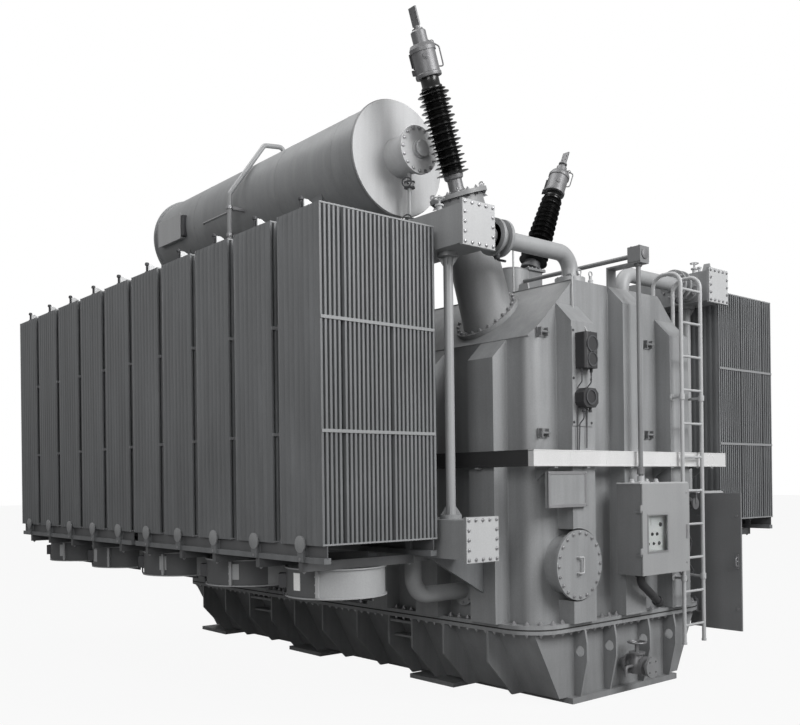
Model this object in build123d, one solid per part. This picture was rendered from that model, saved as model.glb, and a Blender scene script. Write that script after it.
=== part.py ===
from build123d import *
import math
import os

# Oil-filled power transformer with two banks of panel radiators.
# Millimetres, +Z up, origin at the middle of the base's underside.
# +X runs along the tank to the end with the ladder and the drive cabinet,
# and -Y is the side of the oil conservator.

# Tank: lower pan, upper bell and the bolted joint between them
tank_half_length = 2860
tank_half_width = 1150
tank_corner_radius = 120
cover_z = 3550
cover_half_width = 610
shoulder_z = 3030
joint_z = 650
gasket_thickness = 12
flange_thickness = 30
flange_reach = 110
flange_corner_radius = 330
pan_bottom_half_width = 850
base_end_reach = 60
base_half_length = tank_half_length + base_end_reach
base_half_width = 750
base_thickness = 50
foot_reach = 280
foot_half_width = base_half_width + foot_reach
foot_length = 600
foot_thickness = 40
foot_near_inset = 1380
foot_middle_x = -590
foot_far_inset = 250
foot_centres_x = (tank_half_length - foot_near_inset, foot_middle_x, foot_far_inset - tank_half_length)

# Gusset plates under the joint flange
gusset_thickness = 22
gusset_knee_z = 350
gusset_foot_inset = 60
gusset_foot_half_width = foot_half_width - gusset_foot_inset
near_gusset_insets = (420, 960, 1380, 1710, 2200, 2780)
far_gusset_insets = (2430, 1970, 1510, 960, 420)
side_gusset_x = [tank_half_length - inset for inset in near_gusset_insets]
side_gusset_x += [inset - tank_half_length for inset in far_gusset_insets]
end_gusset_y = (-640, -245, 245, 640)
end_gusset_hole_radius = 45
end_gusset_hole_z = 430
end_gusset_knee_reach = 130

# Box stiffeners on the tank walls
stiffener_width = 290
side_stiffener_depth = 166
end_stiffener_depth = 160
side_stiffener_near_inset = 412
side_stiffener_far_inset = 408
side_stiffener_count = 8
side_stiffener_first_x = tank_half_length - side_stiffener_near_inset
side_stiffener_span = 2 * tank_half_length - side_stiffener_near_inset - side_stiffener_far_inset
side_stiffener_pitch = side_stiffener_span / (side_stiffener_count - 1)
end_stiffener_y = (-695, 0, 695)
end_cap_slope = 1.05

# Cable tray round the tank
tray_z = 1970
tray_height = 130
tray_depth = 60

# Radiator banks
radiators_per_bank = 10
radiator_pitch = 627
radiator_width = 535
bank_near_inset = 210
bank_near_x = tank_half_length - bank_near_inset
bank_gap = 80
bank_depth = 1070
radiator_bottom_z = 1420
radiator_top_z = 3810
panels_per_radiator = 27
panel_thickness = 20
radiator_bar_height = 70
stub_radius = 45
radiators_per_rail = 5

# Header ducts between tank and radiators
duct_width = 300
duct_gap = 470
duct_wall_y = tank_half_width + duct_gap
bank_inner_y = duct_wall_y + duct_width + bank_gap
bank_outer_y = bank_inner_y + bank_depth
upper_duct_bottom_z = 3655
lower_duct_bottom_z = 1265
duct_height = 300
left_duct_reach = 230
right_upper_duct_reach = 115
right_lower_duct_inset = 185
duct_far_inset = 48
upper_duct_near_x = {-1: bank_near_x + left_duct_reach, 1: bank_near_x + right_upper_duct_reach}
lower_duct_near_x = {-1: bank_near_x + left_duct_reach, 1: bank_near_x - right_lower_duct_inset}
bank_far_x = bank_near_x - (radiators_per_bank - 1) * radiator_pitch - radiator_width
duct_far_x = bank_far_x + duct_far_inset
duct_plate_margin = 25
duct_plate_thickness = 25

# Oil pipes
pipe_radius = 70
pipe_flange_radius = 130
pipe_flange_thickness = 28
pipe_bend_radius = 150
landing_stub_height = 45
left_pipe_inset = 160
right_pipe_inset = 215
upper_pipe_x = {-1: upper_duct_near_x[-1] - left_pipe_inset, 1: upper_duct_near_x[1] - right_pipe_inset}
upper_pipe_landing_y = 480
lower_pipe_x = side_stiffener_first_x - side_stiffener_pitch / 2
lower_pipe_tank_z = 920
standpipe_radius = 38
bracket_stiffeners = (0, 2, 5, 7)
bracket_thickness = 30
bracket_drop = 330
left_standpipe_inset = 320
right_standpipe_inset = 45
far_standpipe_inset = 280
far_standpipe_x = duct_far_x + far_standpipe_inset
standpipe_x = {
    -1: (lower_duct_near_x[-1] - left_standpipe_inset, far_standpipe_x),
    1: (lower_duct_near_x[1] - right_standpipe_inset, far_standpipe_x),
}

# Fans under the radiators
fans_per_bank = 5
fan_drum_radius = 380
fan_drum_wall = 6
fan_drum_bottom_z = 1000
fan_drum_top_z = 1225
fan_drum_rim = 14
fan_rim_height = 10
fan_motor_radius = 105
fan_motor_height = 190
fan_arm_half_gap = 60
fan_arm_width = 12
fan_arm_height = 25
fan_beam_offset = 290
fan_beam_width = 50
rail_height = 42
rail_width = 60
rail_top_z = 1336
rail_foot_width = 60
foot_lug_width = 75
foot_lug_thickness = 15
foot_lug_overlap = 40
rail_inset = 10

# Oil conservator
conservator_inset = 120
conservator_y = conservator_inset - duct_wall_y
conservator_z = 4707
conservator_radius = 490
conservator_far_inset = 750
conservator_far_x = conservator_far_inset - tank_half_length
conservator_near_inset = 1220
conservator_near_x = tank_half_length - conservator_near_inset
conservator_rim = 15
end_plate_thickness = 14
neck_radius = 170
neck_length = 260
neck_flange_radius = 205
neck_flange_thickness = 30
neck_nozzle_radius = 75
neck_nozzle_length = 25
neck_drain_offset = 160
neck_drain_x = conservator_near_x + neck_drain_offset
neck_drain_radius = 18
neck_drain_rise = (85, 170)
neck_drain_bend = 36
neck_valve_radius = 42
neck_valve_z = (4100, 4420)
neck_valve_height = 30
saddle_inner_reach = 250
saddle_top_drop = 250
breather_x = -246
breather_radius = 24
breather_foot_offset = 180
breather_foot_y = -duct_wall_y - breather_foot_offset
breather_side_offset = 600
breather_side_y = conservator_y - breather_side_offset
breather_low_z = 4100
breather_knee_z = 4760
breather_top_offset = (220, 653)
breather_top = (conservator_y - breather_top_offset[0], conservator_z + breather_top_offset[1])
breather_bend = 60
breather_flange_radius = 50
breather_flange_thickness = 14
saddle_insets = (1860, 1360)
saddle_x = (tank_half_length - saddle_insets[0], saddle_insets[1] - tank_half_length)
saddle_length = 160

# High-voltage bushing and its turret on the near left shoulder
hv_inset = 720
hv_base = (tank_half_length - hv_inset, -880, 3250)
hv_tilt = 19
hv_ring_inset = 760
hv_ring_centre = (tank_half_length - hv_ring_inset, -860)
hv_ring_radius = 310
shoulder_ring_thickness = 40
hv_turret_length = 1100
hv_turret_bottom_radius = 232
hv_turret_top_radius = 205
turret_flange_radius = 250
turret_flange_thickness = 36
hv_foot_length = 158
foot_fitting_radius = 66
hv_shed_length = 717
hv_shed_bottom_radius = 140
hv_shed_top_radius = 136
shed_core_radius = 85
neck_glaze_radius = 78
neck_glaze_length = 88
hv_head_radius = 103
hv_head_height = 263
head_collar_width = 8
head_collar_height = 30
hv_dome_radius = 64
hv_dome_height = 116
dome_taper = 14
stem_radius = 26
stem_height = 34
terminal_width = 80
terminal_thickness = 16
terminal_height = 148
terminal_hole_radius = 7
terminal_hole_pitch = 44

# Second bushing behind the ridge
rear_inset = 1500
rear_x = tank_half_length - rear_inset
rear_foot = (rear_x, 545, 4060)
rear_tilt = -24
rear_box_centre = (rear_x, 480)
rear_box_half = (125, 105)
rear_box_top_z = 4040
rear_box_flange = 25
rear_box_flange_thickness = 24
rear_foot_length = 90
rear_shed_length = 770
rear_neck_length = 60
rear_shed_bottom_radius = 130
rear_shed_top_radius = 112
rear_head_radius = 104
rear_head_height = 250
rear_dome_radius = 55
rear_dome_height = 90
turret_foot = 300

# Insulator sheds
large_sheds = 11
small_shed_share = 0.55
shed_lift = 12
shed_edge = 4

# Drive cabinet and shaft of the tap changer
drive_box_reach = 400
drive_box_front_x = tank_half_length + drive_box_reach
drive_box_depth = 240
drive_box_y = (-260, 430)
drive_box_z = (1050, 1820)
drive_hinge_z = (1230, 1590)
cabinet_wall = 4
door_thickness = 20
door_gap = 6
hinge_offset = 20
hinge_pin_radius = 5
hinge_pin_height = 42
hinge_clearance = 0.3
knuckle_radius = 9
knuckle_height = 50
lug_thickness = 14
lug_length = 40
drive_shaft_reach = 265
drive_shaft_x = tank_half_length + drive_shaft_reach
drive_shaft_y = -60
drive_shaft_radius = 20
gear_box_size = 130
gear_box_z = 3785
gear_bracket_width = 120
gear_bracket_thickness = 14
head_inset = 1210
head_centre = (tank_half_length - head_inset, drive_shaft_y)
head_radius = 170
head_height = 350
head_flange_radius = 230
head_flange_thickness = 40

# Manhole
manhole_y = -780
manhole_z = 1165
manhole_radius = 287
manhole_neck_radius = 240
manhole_reach = 150
manhole_front_x = tank_half_length + manhole_reach
manhole_cover_thickness = 25
manhole_clearance = 12

# Instruments and plate holder on the near end
gauge_plate_y = (-840, -585)
gauge_plate_z = (2300, 3110)
gauge_plate_thickness = 8
gauge_y = -715
gauge_z = (2770, 3060)
gauge_width = 165
gauge_depth = 110
gauge_rounding = 30
small_gauge_z = (2450, 2607)
small_gauge_width = 190
small_gauge_depth = 90
small_gauge_chamfer = 38
plate_holder_overhang = 30
plate_holder_inset = 450
plate_holder_y = (-tank_half_width - plate_holder_overhang, plate_holder_inset - tank_half_width)
plate_holder_z = (1640, 1930)
plate_holder_depth = 30

# Ladder
ladder_reach = 265
ladder_x = tank_half_length + ladder_reach
ladder_y = (575, 890)
rail_tube_radius = 18
rung_radius = 12
rung_pitch = 305
ladder_bottom_z = 370
ladder_top_z = 3730
ladder_hook_reach = 290
ladder_hook_radius = 110
ladder_stay_z = (960, 2600)
first_rung_height = 160
rung_count = 11

# Control cabinet with its door open
control_box_gap = 34
control_box_width = 400
control_box_inset = 35
control_box_depth = 130
control_box_y0 = tank_half_width + side_stiffener_depth + control_box_gap
control_box_y = (control_box_y0, control_box_y0 + control_box_width)
control_box_z = (410, 1715)
control_box_x1 = tank_half_length - control_box_inset
control_box_x = (control_box_x1 - control_box_depth, control_box_x1)
control_hinge_z = (560, 1500)
cabinet_bar_width = 60
cabinet_bar_z = (915, 1400)
cabinet_bar_lap = 80

# Drain valve at the near end of the pan
drain_y = 0
drain_z = 242
drain_pipe_radius = 45
drain_reach = 300
drain_flange_thickness = 22
drain_flange_radius = 90
drain_hole_circle = 125
drain_hole_radius = 9
drain_hole_count = 4

os.makedirs("parts", exist_ok=True)


def block(x, y, z):
    """A box between low and high values on each axis."""
    size = [abs(pair[1] - pair[0]) for pair in (x, y, z)]
    middle = [(pair[0] + pair[1]) / 2 for pair in (x, y, z)]
    return Pos(*middle) * Box(*size)


def rod(start, end, radius):
    """A round bar between two points."""
    direction = Vector(*end) - Vector(*start)
    plane = Plane(origin=start, z_dir=direction)
    return extrude(plane * Circle(radius), direction.length)


def tube(start, end, radius, wall):
    """A round tube between two points."""
    direction = Vector(*end) - Vector(*start)
    plane = Plane(origin=start, z_dir=direction)
    return extrude(plane * (Circle(radius) - Circle(radius - wall)), direction.length)


def prism_x(points, x0, x1):
    """Extrude a closed outline given in Y and Z along X."""
    face = make_face(Polyline([(x0, y, z) for y, z in points], close=True))
    return extrude(face, x1 - x0, dir=(1, 0, 0))


def prism_y(points, y0, y1):
    """Extrude a closed outline given in X and Z along Y."""
    face = make_face(Polyline([(x, y0, z) for x, z in points], close=True))
    return extrude(face, y1 - y0, dir=(0, 1, 0))


def mirrored(shape, side):
    """Return the shape made for the -Y side, or its mirror image for +Y."""
    return shape if side < 0 else mirror(shape, Plane.XZ)


def save(name, *solids):
    shape = solids[0] if len(solids) == 1 else Compound(children=list(solids))
    export_step(shape, f"parts/{name}.step")


# Derived levels and faces
flange_half_length = tank_half_length + flange_reach
flange_half_width = tank_half_width + flange_reach
lower_flange_top = joint_z - gasket_thickness / 2
lower_flange_bottom = lower_flange_top - flange_thickness
upper_flange_bottom = joint_z + gasket_thickness / 2
upper_flange_top = upper_flange_bottom + flange_thickness
side_stiffener_y = tank_half_width + side_stiffener_depth
end_stiffener_x = tank_half_length + end_stiffener_depth
shoulder_slope = (cover_z - shoulder_z) / (tank_half_width - cover_half_width)


def shoulder_height(y):
    """Height of the sloping shoulder plane at a distance y from the ridge."""
    return min(cover_z, cover_z - (abs(y) - cover_half_width) * shoulder_slope)


def flange_plate(z0, z1):
    outline = RectangleRounded(2 * flange_half_length, 2 * flange_half_width, flange_corner_radius)
    return Pos(0, 0, z0) * extrude(outline, z1 - z0)


def make_lower_pan():
    section = [
        (-pan_bottom_half_width, base_thickness),
        (pan_bottom_half_width, base_thickness),
        (tank_half_width, lower_flange_bottom),
        (-tank_half_width, lower_flange_bottom),
    ]
    pan = prism_x(section, -tank_half_length, tank_half_length)
    pan += flange_plate(lower_flange_bottom, lower_flange_top)
    pan += block(
        (-base_half_length, base_half_length), (-base_half_width, base_half_width), (0, base_thickness)
    )
    return pan


def make_foot_plates():
    """Pads on both sides of the base plate, flush with its underside."""
    pads = []
    for centre in foot_centres_x:
        x = (centre - foot_length / 2, centre + foot_length / 2)
        pad = block(x, (-foot_half_width, -base_half_width), (0, foot_thickness))
        pads += [mirrored(pad, side) for side in (-1, 1)]
    return pads


def make_side_gussets():
    outline = [
        (-flange_half_width, lower_flange_bottom),
        (-flange_half_width, gusset_knee_z),
        (-gusset_foot_half_width, foot_thickness),
        (-base_half_width, foot_thickness),
        (-base_half_width, base_thickness),
        (-pan_bottom_half_width, base_thickness),
        (-tank_half_width, lower_flange_bottom),
    ]
    gussets = []
    for x in side_gusset_x:
        plate = prism_x(outline, x - gusset_thickness / 2, x + gusset_thickness / 2)
        gussets += [mirrored(plate, side) for side in (-1, 1)]
    return gussets


def make_end_gussets():
    wall = tank_half_length
    outline = [
        (wall, lower_flange_bottom),
        (wall + flange_reach, lower_flange_bottom),
        (wall + end_gusset_knee_reach, lower_flange_bottom - flange_reach),
        (wall + end_gusset_knee_reach, gusset_knee_z),
        (base_half_length, base_thickness),
        (wall, base_thickness),
    ]
    gussets = []
    for y in end_gusset_y:
        plate = prism_y(outline, y - gusset_thickness / 2, y + gusset_thickness / 2)
        hole_x = base_half_length
        hole = rod(
            (hole_x, y - gusset_thickness, end_gusset_hole_z),
            (hole_x, y + gusset_thickness, end_gusset_hole_z),
            end_gusset_hole_radius,
        )
        plate -= hole
        gussets += [plate, mirror(plate, Plane.YZ)]
    return gussets


def make_tank_bell():
    outline = RectangleRounded(2 * tank_half_length, 2 * tank_half_width, tank_corner_radius)
    bell = Pos(0, 0, upper_flange_bottom) * extrude(outline, cover_z - upper_flange_bottom)
    wedge = [
        (-cover_half_width, cover_z),
        (-tank_half_width, shoulder_z),
        (-tank_half_width, cover_z),
    ]
    cut = prism_x(wedge, -tank_half_length, tank_half_length)
    bell = bell - cut - mirror(cut, Plane.XZ)
    return bell + flange_plate(upper_flange_bottom, upper_flange_top)


def make_side_stiffeners(side):
    outline = [
        (-tank_half_width, upper_flange_top),
        (-side_stiffener_y, upper_flange_top),
        (-side_stiffener_y, shoulder_height(side_stiffener_y)),
        (-tank_half_width, shoulder_z),
    ]
    solids = []
    for index in range(side_stiffener_count):
        x = side_stiffener_first_x - index * side_stiffener_pitch
        solids.append(mirrored(prism_x(outline, x - stiffener_width / 2, x + stiffener_width / 2), side))
    return solids


def make_end_stiffener(y):
    top = shoulder_height(abs(y) + stiffener_width / 2)
    outline = [
        (tank_half_length, upper_flange_top),
        (end_stiffener_x, upper_flange_top),
        (end_stiffener_x, top - end_cap_slope * end_stiffener_depth),
        (tank_half_length, top),
    ]
    return prism_y(outline, y - stiffener_width / 2, y + stiffener_width / 2)


def make_end_stiffeners():
    """Three on each end; the near left one is cut away round the manhole."""
    room = rod((tank_half_length, manhole_y, manhole_z), (end_stiffener_x, manhole_y, manhole_z),
               manhole_radius + manhole_clearance)
    solids = []
    for y in end_stiffener_y:
        solid = make_end_stiffener(y)
        solids.append(mirror(solid, Plane.YZ))
        solids += (solid - room).solids()
    return solids


def make_cable_tray():
    """A shallow tray over the near end and both long sides of the tank."""
    far_x = side_stiffener_first_x - (side_stiffener_count - 1) * side_stiffener_pitch - stiffener_width / 2
    z = (tray_z, tray_z + tray_height)
    front_x = end_stiffener_x + tray_depth
    side_y = side_stiffener_y + tray_depth
    tray = block((end_stiffener_x, front_x), (-side_y, side_y), z)
    for side in (-1, 1):
        tray += mirrored(block((far_x, front_x), (-side_y, -side_stiffener_y), z), side)
    return tray


def make_radiator(centre_x):
    """One radiator: upright panels between a top and a bottom header bar."""
    x = (centre_x - radiator_width / 2, centre_x + radiator_width / 2)
    body = block(x, (-bank_outer_y, -bank_inner_y), (radiator_bottom_z, radiator_top_z))
    pitch = (bank_outer_y - bank_inner_y - panel_thickness) / (panels_per_radiator - 1)
    slots = []
    for index in range(panels_per_radiator - 1):
        y = -bank_outer_y + panel_thickness + index * pitch
        z = (radiator_bottom_z + radiator_bar_height, radiator_top_z - radiator_bar_height)
        slots.append(block(x, (y, y + pitch - panel_thickness), z))
    return body - slots


def radiator_centre(index):
    return bank_near_x - radiator_width / 2 - index * radiator_pitch


def make_radiators(side, first):
    indices = range(first, first + radiators_per_rail)
    return [mirrored(make_radiator(radiator_centre(index)), side) for index in indices]


def make_duct(side, bottom_z, near_x):
    """A header duct with a plate at each end and a stub to each radiator."""
    y = (-duct_wall_y - duct_width, -duct_wall_y)
    z = (bottom_z, bottom_z + duct_height)
    margin = duct_plate_margin
    duct = block((duct_far_x, near_x), y, z)
    plate_y = (y[0] - margin, y[1] + margin)
    plate_z = (z[0] - margin, z[1] + margin)
    duct += block((near_x, near_x + duct_plate_thickness), plate_y, plate_z)
    duct += block((duct_far_x - duct_plate_thickness, duct_far_x), plate_y, plate_z)
    middle_z = bottom_z + duct_height / 2
    for index in range(radiators_per_bank):
        x = radiator_centre(index)
        duct += rod((x, y[0], middle_z), (x, -bank_inner_y, middle_z), stub_radius)
    return mirrored(duct, side)


duct_middle_y = duct_wall_y + duct_width / 2
upper_duct_middle_z = upper_duct_bottom_z + duct_height / 2


def make_standpipes(side):
    """Upright pipes that join the lower duct to the upper one."""
    pipes = []
    for x in standpipe_x[side]:
        start = (x, -duct_middle_y, lower_duct_bottom_z + duct_height)
        end = (x, -duct_middle_y, upper_duct_bottom_z)
        pipes.append(mirrored(rod(start, end, standpipe_radius), side))
    return pipes


def make_upper_pipe(side):
    """The oil pipe from the upper duct to the tank cover, with its flanges."""
    x = upper_pipe_x[side]
    z = upper_duct_middle_z
    start = (x, -duct_wall_y, z)
    end = (x, -upper_pipe_landing_y, cover_z)
    path = FilletPolyline(start, (x, -upper_pipe_landing_y, z), end, radius=pipe_bend_radius)
    pipe = sweep(Plane(origin=start, z_dir=(0, 1, 0)) * Circle(pipe_radius), path=path)
    thickness = pipe_flange_thickness
    pipe += rod(start, (x, -duct_wall_y + 2 * thickness, z), pipe_flange_radius)
    pipe += rod(end, (*end[:2], cover_z + landing_stub_height), pipe_flange_radius)
    return mirrored(pipe, side)


def make_lower_pipe(side):
    """The elbow from under the lower duct into the tank's side wall."""
    start = (lower_pipe_x, -duct_middle_y, lower_duct_bottom_z)
    corner = (lower_pipe_x, -duct_middle_y, lower_pipe_tank_z)
    end = (lower_pipe_x, -tank_half_width, lower_pipe_tank_z)
    path = FilletPolyline(start, corner, end, radius=pipe_bend_radius)
    pipe = sweep(Plane(origin=start, z_dir=(0, 0, -1)) * Circle(pipe_radius), path=path)
    return mirrored(pipe, side)


def make_duct_brackets(side):
    """Triangular brackets from the side stiffeners to the lower duct."""
    outline = [
        (-side_stiffener_y, lower_duct_bottom_z),
        (-duct_wall_y - duct_width, lower_duct_bottom_z),
        (-side_stiffener_y, lower_duct_bottom_z - bracket_drop),
    ]
    brackets = []
    for index in bracket_stiffeners:
        x = side_stiffener_first_x - index * side_stiffener_pitch
        plate = prism_x(outline, x - bracket_thickness / 2, x + bracket_thickness / 2)
        brackets.append(mirrored(plate, side))
    return brackets


def fan_centre(index):
    return (radiator_centre(2 * index) + radiator_centre(2 * index + 1)) / 2


bank_middle_y = (bank_inner_y + bank_outer_y) / 2


def rail_spans():
    """Outer and inner rail of a bank, as low and high Y on the -Y side."""
    outer = -bank_outer_y + rail_inset
    inner = -bank_inner_y - rail_inset
    return (outer, outer + rail_width), (inner - rail_width, inner)


def make_foot_lug(x):
    """Plate on the outer rail that laps up over a radiator's outer face."""
    rail_y = rail_spans()[0][0]
    seat_y = -bank_outer_y
    face_y = seat_y - foot_lug_thickness
    outline = [
        (rail_y, rail_top_z - rail_height),
        (face_y, rail_top_z - rail_height),
        (face_y, radiator_bottom_z + foot_lug_overlap),
        (seat_y, radiator_bottom_z + foot_lug_overlap),
        (seat_y, radiator_bottom_z),
        (rail_y, radiator_bottom_z),
    ]
    return prism_x(outline, x - foot_lug_width / 2, x + foot_lug_width / 2)


def make_fan_rails(side):
    """Rails that hang on a foot under each radiator and carry the fans."""
    rails = []
    for first in (0, radiators_per_rail):
        indices = range(first, first + radiators_per_rail)
        near = radiator_centre(indices[0]) + radiator_width / 2
        far = radiator_centre(indices[-1]) - radiator_width / 2
        for y in rail_spans():
            rail = block((far, near), y, (rail_top_z - rail_height, rail_top_z))
            for index in indices:
                x = radiator_centre(index)
                foot_x = (x - rail_foot_width / 2, x + rail_foot_width / 2)
                rail += block(foot_x, y, (rail_top_z, radiator_bottom_z))
                if y[0] < -bank_middle_y:
                    rail += make_foot_lug(x)
            rails.append(mirrored(rail, side))
    return rails


def make_fan_beams(side):
    """Two cross beams under the rails for each fan."""
    outer, inner = rail_spans()
    beams = []
    for index in range(fans_per_bank):
        for offset in (-fan_beam_offset, fan_beam_offset):
            x = fan_centre(index) + offset
            beam = block((x - fan_beam_width / 2, x + fan_beam_width / 2), (outer[0], inner[1]),
                         (fan_drum_top_z, rail_top_z - rail_height))
            beams.append(mirrored(beam, side))
    return beams


def make_fan_drums(side):
    """Open drums with a rolled rim at the top and the bottom."""
    drums = []
    for index in range(fans_per_bank):
        centre = (fan_centre(index), -bank_middle_y)
        drum = tube((*centre, fan_drum_bottom_z), (*centre, fan_drum_top_z), fan_drum_radius, fan_drum_wall)
        for z in (fan_drum_bottom_z, fan_drum_top_z - fan_rim_height):
            drum += tube((*centre, z), (*centre, z + fan_rim_height), fan_drum_radius + fan_drum_rim,
                         fan_drum_rim + fan_drum_wall)
        drums.append(mirrored(drum, side))
    return drums


def make_fan_motors(side):
    """Motors on two arms across the foot of each drum."""
    motors = []
    for index in range(fans_per_bank):
        x, y = fan_centre(index), -bank_middle_y
        arm_z = (fan_drum_bottom_z - fan_arm_height, fan_drum_bottom_z)
        motor = rod((x, y, arm_z[0]), (x, y, arm_z[0] + fan_motor_height), fan_motor_radius)
        for offset in (-fan_arm_half_gap, fan_arm_half_gap):
            motor += block((x - fan_drum_radius, x + fan_drum_radius),
                           (y + offset - fan_arm_width / 2, y + offset + fan_arm_width / 2), arm_z)
        motors.append(mirrored(motor, side))
    return motors


def make_conservator_shell():
    start = (conservator_far_x, conservator_y, conservator_z)
    end = (conservator_near_x, conservator_y, conservator_z)
    return rod(start, end, conservator_radius)


def make_conservator_near_end():
    x = conservator_near_x
    centre = (conservator_y, conservator_z)
    end = rod((x, *centre), (x + end_plate_thickness, *centre), conservator_radius + conservator_rim)
    neck_end = x + neck_length
    end += rod((x, *centre), (neck_end, *centre), neck_radius)
    face = neck_end + neck_flange_thickness
    end += rod((neck_end, *centre), (face, *centre), neck_flange_radius)
    return end + rod((face, *centre), (face + neck_nozzle_length, *centre), neck_nozzle_radius)


def make_conservator_far_end():
    x = conservator_far_x
    centre = (conservator_y, conservator_z)
    return rod((x - end_plate_thickness, *centre), (x, *centre), conservator_radius + conservator_rim)


def make_neck_drain(near_end):
    """The drain pipe with its two valves, from the neck down to the duct."""
    column = (neck_drain_x, conservator_y)
    duct_top_z = upper_duct_bottom_z + duct_height
    foot = (neck_drain_x, -duct_middle_y, duct_top_z)
    path = FilletPolyline(
        foot,
        (neck_drain_x, -duct_middle_y, duct_top_z + neck_drain_rise[0]),
        (*column, duct_top_z + neck_drain_rise[1]),
        (*column, conservator_z - neck_radius / 2),
        radius=neck_drain_bend,
    )
    pipe = sweep(Plane(origin=foot, z_dir=(0, 0, 1)) * Circle(neck_drain_radius), path=path)
    for z in neck_valve_z:
        pipe += rod((*column, z), (*column, z + neck_valve_height), neck_valve_radius)
    return pipe - near_end


def make_breather_pipe(shell):
    """The breather pipe over the side of the conservator to its top."""
    x = breather_x
    foot = (x, breather_foot_y, upper_duct_bottom_z + duct_height)
    path = FilletPolyline(
        foot,
        (x, breather_foot_y, breather_low_z),
        (x, breather_side_y, breather_low_z),
        (x, breather_side_y, breather_knee_z),
        (x, *breather_top),
        (x, conservator_y, breather_top[1]),
        (x, conservator_y, conservator_z + conservator_radius - breather_radius),
        radius=breather_bend,
    )
    pipe = sweep(Plane(origin=foot, z_dir=(0, 0, 1)) * Circle(breather_radius), path=path)
    pipe += rod(foot, (*foot[:2], foot[2] + breather_flange_thickness), breather_flange_radius)
    return pipe - shell


def make_saddles():
    """Cradle plates that stand on the upper duct and carry the conservator."""
    saddles = []
    top_of_duct = upper_duct_bottom_z + duct_height
    for x in saddle_x:
        span = (x - saddle_length / 2, x + saddle_length / 2)
        body = block(span, (-duct_wall_y - duct_width, -duct_wall_y + saddle_inner_reach),
                     (top_of_duct, conservator_z - saddle_top_drop))
        body -= rod((span[0], conservator_y, conservator_z), (span[1], conservator_y, conservator_z),
                    conservator_radius)
        saddles.append(body)
    return saddles


def tilted(base, tilt):
    """Place at the base point of a bushing, with Z along its leaning axis."""
    return Pos(*base) * Rot(tilt, 0, 0)


UPRIGHT = (Align.CENTER, Align.CENTER, Align.MIN)


def make_hv_turret(bell):
    """A leaning turret with a top flange and a foot ring on the tank's shoulder."""
    body = Cone(hv_turret_bottom_radius, hv_turret_top_radius, hv_turret_length, align=UPRIGHT)
    body += Pos(0, 0, -turret_foot) * Cylinder(hv_turret_bottom_radius, turret_foot, align=UPRIGHT)
    flange = Cylinder(turret_flange_radius, turret_flange_thickness, align=UPRIGHT)
    body += Pos(0, 0, hv_turret_length) * flange
    x, y = hv_ring_centre
    lean = math.degrees(math.atan(shoulder_slope))
    ring = Pos(x, y, shoulder_height(y)) * Rot(lean, 0, 0) * Cylinder(
        hv_ring_radius, shoulder_ring_thickness, align=UPRIGHT
    )
    return tilted(hv_base, hv_tilt) * body + ring - bell


def make_rear_turret():
    """A box turret on the cover, with a flange and a leaning socket on top."""
    x, y = rear_box_centre
    half_x, half_y = rear_box_half
    rim = rear_box_flange
    box = block((x - half_x, x + half_x), (y - half_y, y + half_y), (cover_z, rear_box_top_z))
    for z in (cover_z, rear_box_top_z - rear_box_flange_thickness):
        box += block((x - half_x - rim, x + half_x + rim), (y - half_y - rim, y + half_y + rim),
                     (z, z + rear_box_flange_thickness))
    socket = Pos(0, 0, -foot_fitting_radius) * Cylinder(
        foot_fitting_radius, foot_fitting_radius + rear_foot_length / 2, align=UPRIGHT
    )
    return box + tilted(rear_foot, rear_tilt) * socket


def make_insulator(base, tilt, start, foot, length, neck, radii):
    """Foot fitting, large and small sheds on a core, and the bare neck above them."""
    points = [(0, 0), (foot_fitting_radius, 0), (foot_fitting_radius, foot)]
    pitch = length / large_sheds
    for index in range(large_sheds):
        low = foot + index * pitch
        large = radii[0] + (radii[1] - radii[0]) * index / (large_sheds - 1)
        small = shed_core_radius + (large - shed_core_radius) * small_shed_share
        for z, radius in ((low + shed_lift, large), (low + pitch / 2 + shed_lift, small)):
            points += [(shed_core_radius, z - shed_lift), (radius, z), (radius, z + shed_edge),
                       (shed_core_radius, z + shed_edge + shed_lift / 2)]
    top = foot + length
    points += [(shed_core_radius, top), (neck_glaze_radius, top)]
    points += [(neck_glaze_radius, top + neck), (0, top + neck)]
    outline = make_face(Polyline([(r, 0, z) for r, z in points], close=True))
    return tilted(base, tilt) * Pos(0, 0, start) * revolve(outline, Axis.Z)


def make_head(base, tilt, start, body, dome):
    """The metal head of a bushing: body, collar, tapering dome, stem and palm."""
    radius, height = body
    dome_radius, dome_height = dome
    points = [
        (0, 0),
        (radius, 0),
        (radius, height - 2 * head_collar_height),
        (radius + head_collar_width, height - 2 * head_collar_height),
        (radius + head_collar_width, height - head_collar_height),
        (radius - head_collar_width, height),
        (dome_radius, height),
        (dome_radius, height + dome_height - dome_taper),
        (dome_radius - dome_taper, height + dome_height),
        (stem_radius, height + dome_height),
        (stem_radius, height + dome_height + stem_height),
        (0, height + dome_height + stem_height),
    ]
    head = revolve(make_face(Polyline([(r, 0, z) for r, z in points], close=True)), Axis.Z)
    palm_z = height + dome_height + stem_height
    palm = Pos(0, 0, palm_z) * Box(terminal_width, terminal_thickness, terminal_height, align=UPRIGHT)
    middle = palm_z + terminal_height / 2
    half = terminal_hole_pitch / 2
    for x, z in ((-half, -half), (-half, half), (half, -half), (half, half)):
        palm -= Pos(x, 0, middle + z) * Rot(90, 0, 0) * Cylinder(terminal_hole_radius, 2 * terminal_thickness)
    return tilted(base, tilt) * Pos(0, 0, start) * (head + palm)


def hinge_axis(front_x, wall_y):
    """Place in X and Y of the hinge pins beside a cabinet's -Y wall."""
    return front_x + door_gap + door_thickness / 2, wall_y - hinge_offset


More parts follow.
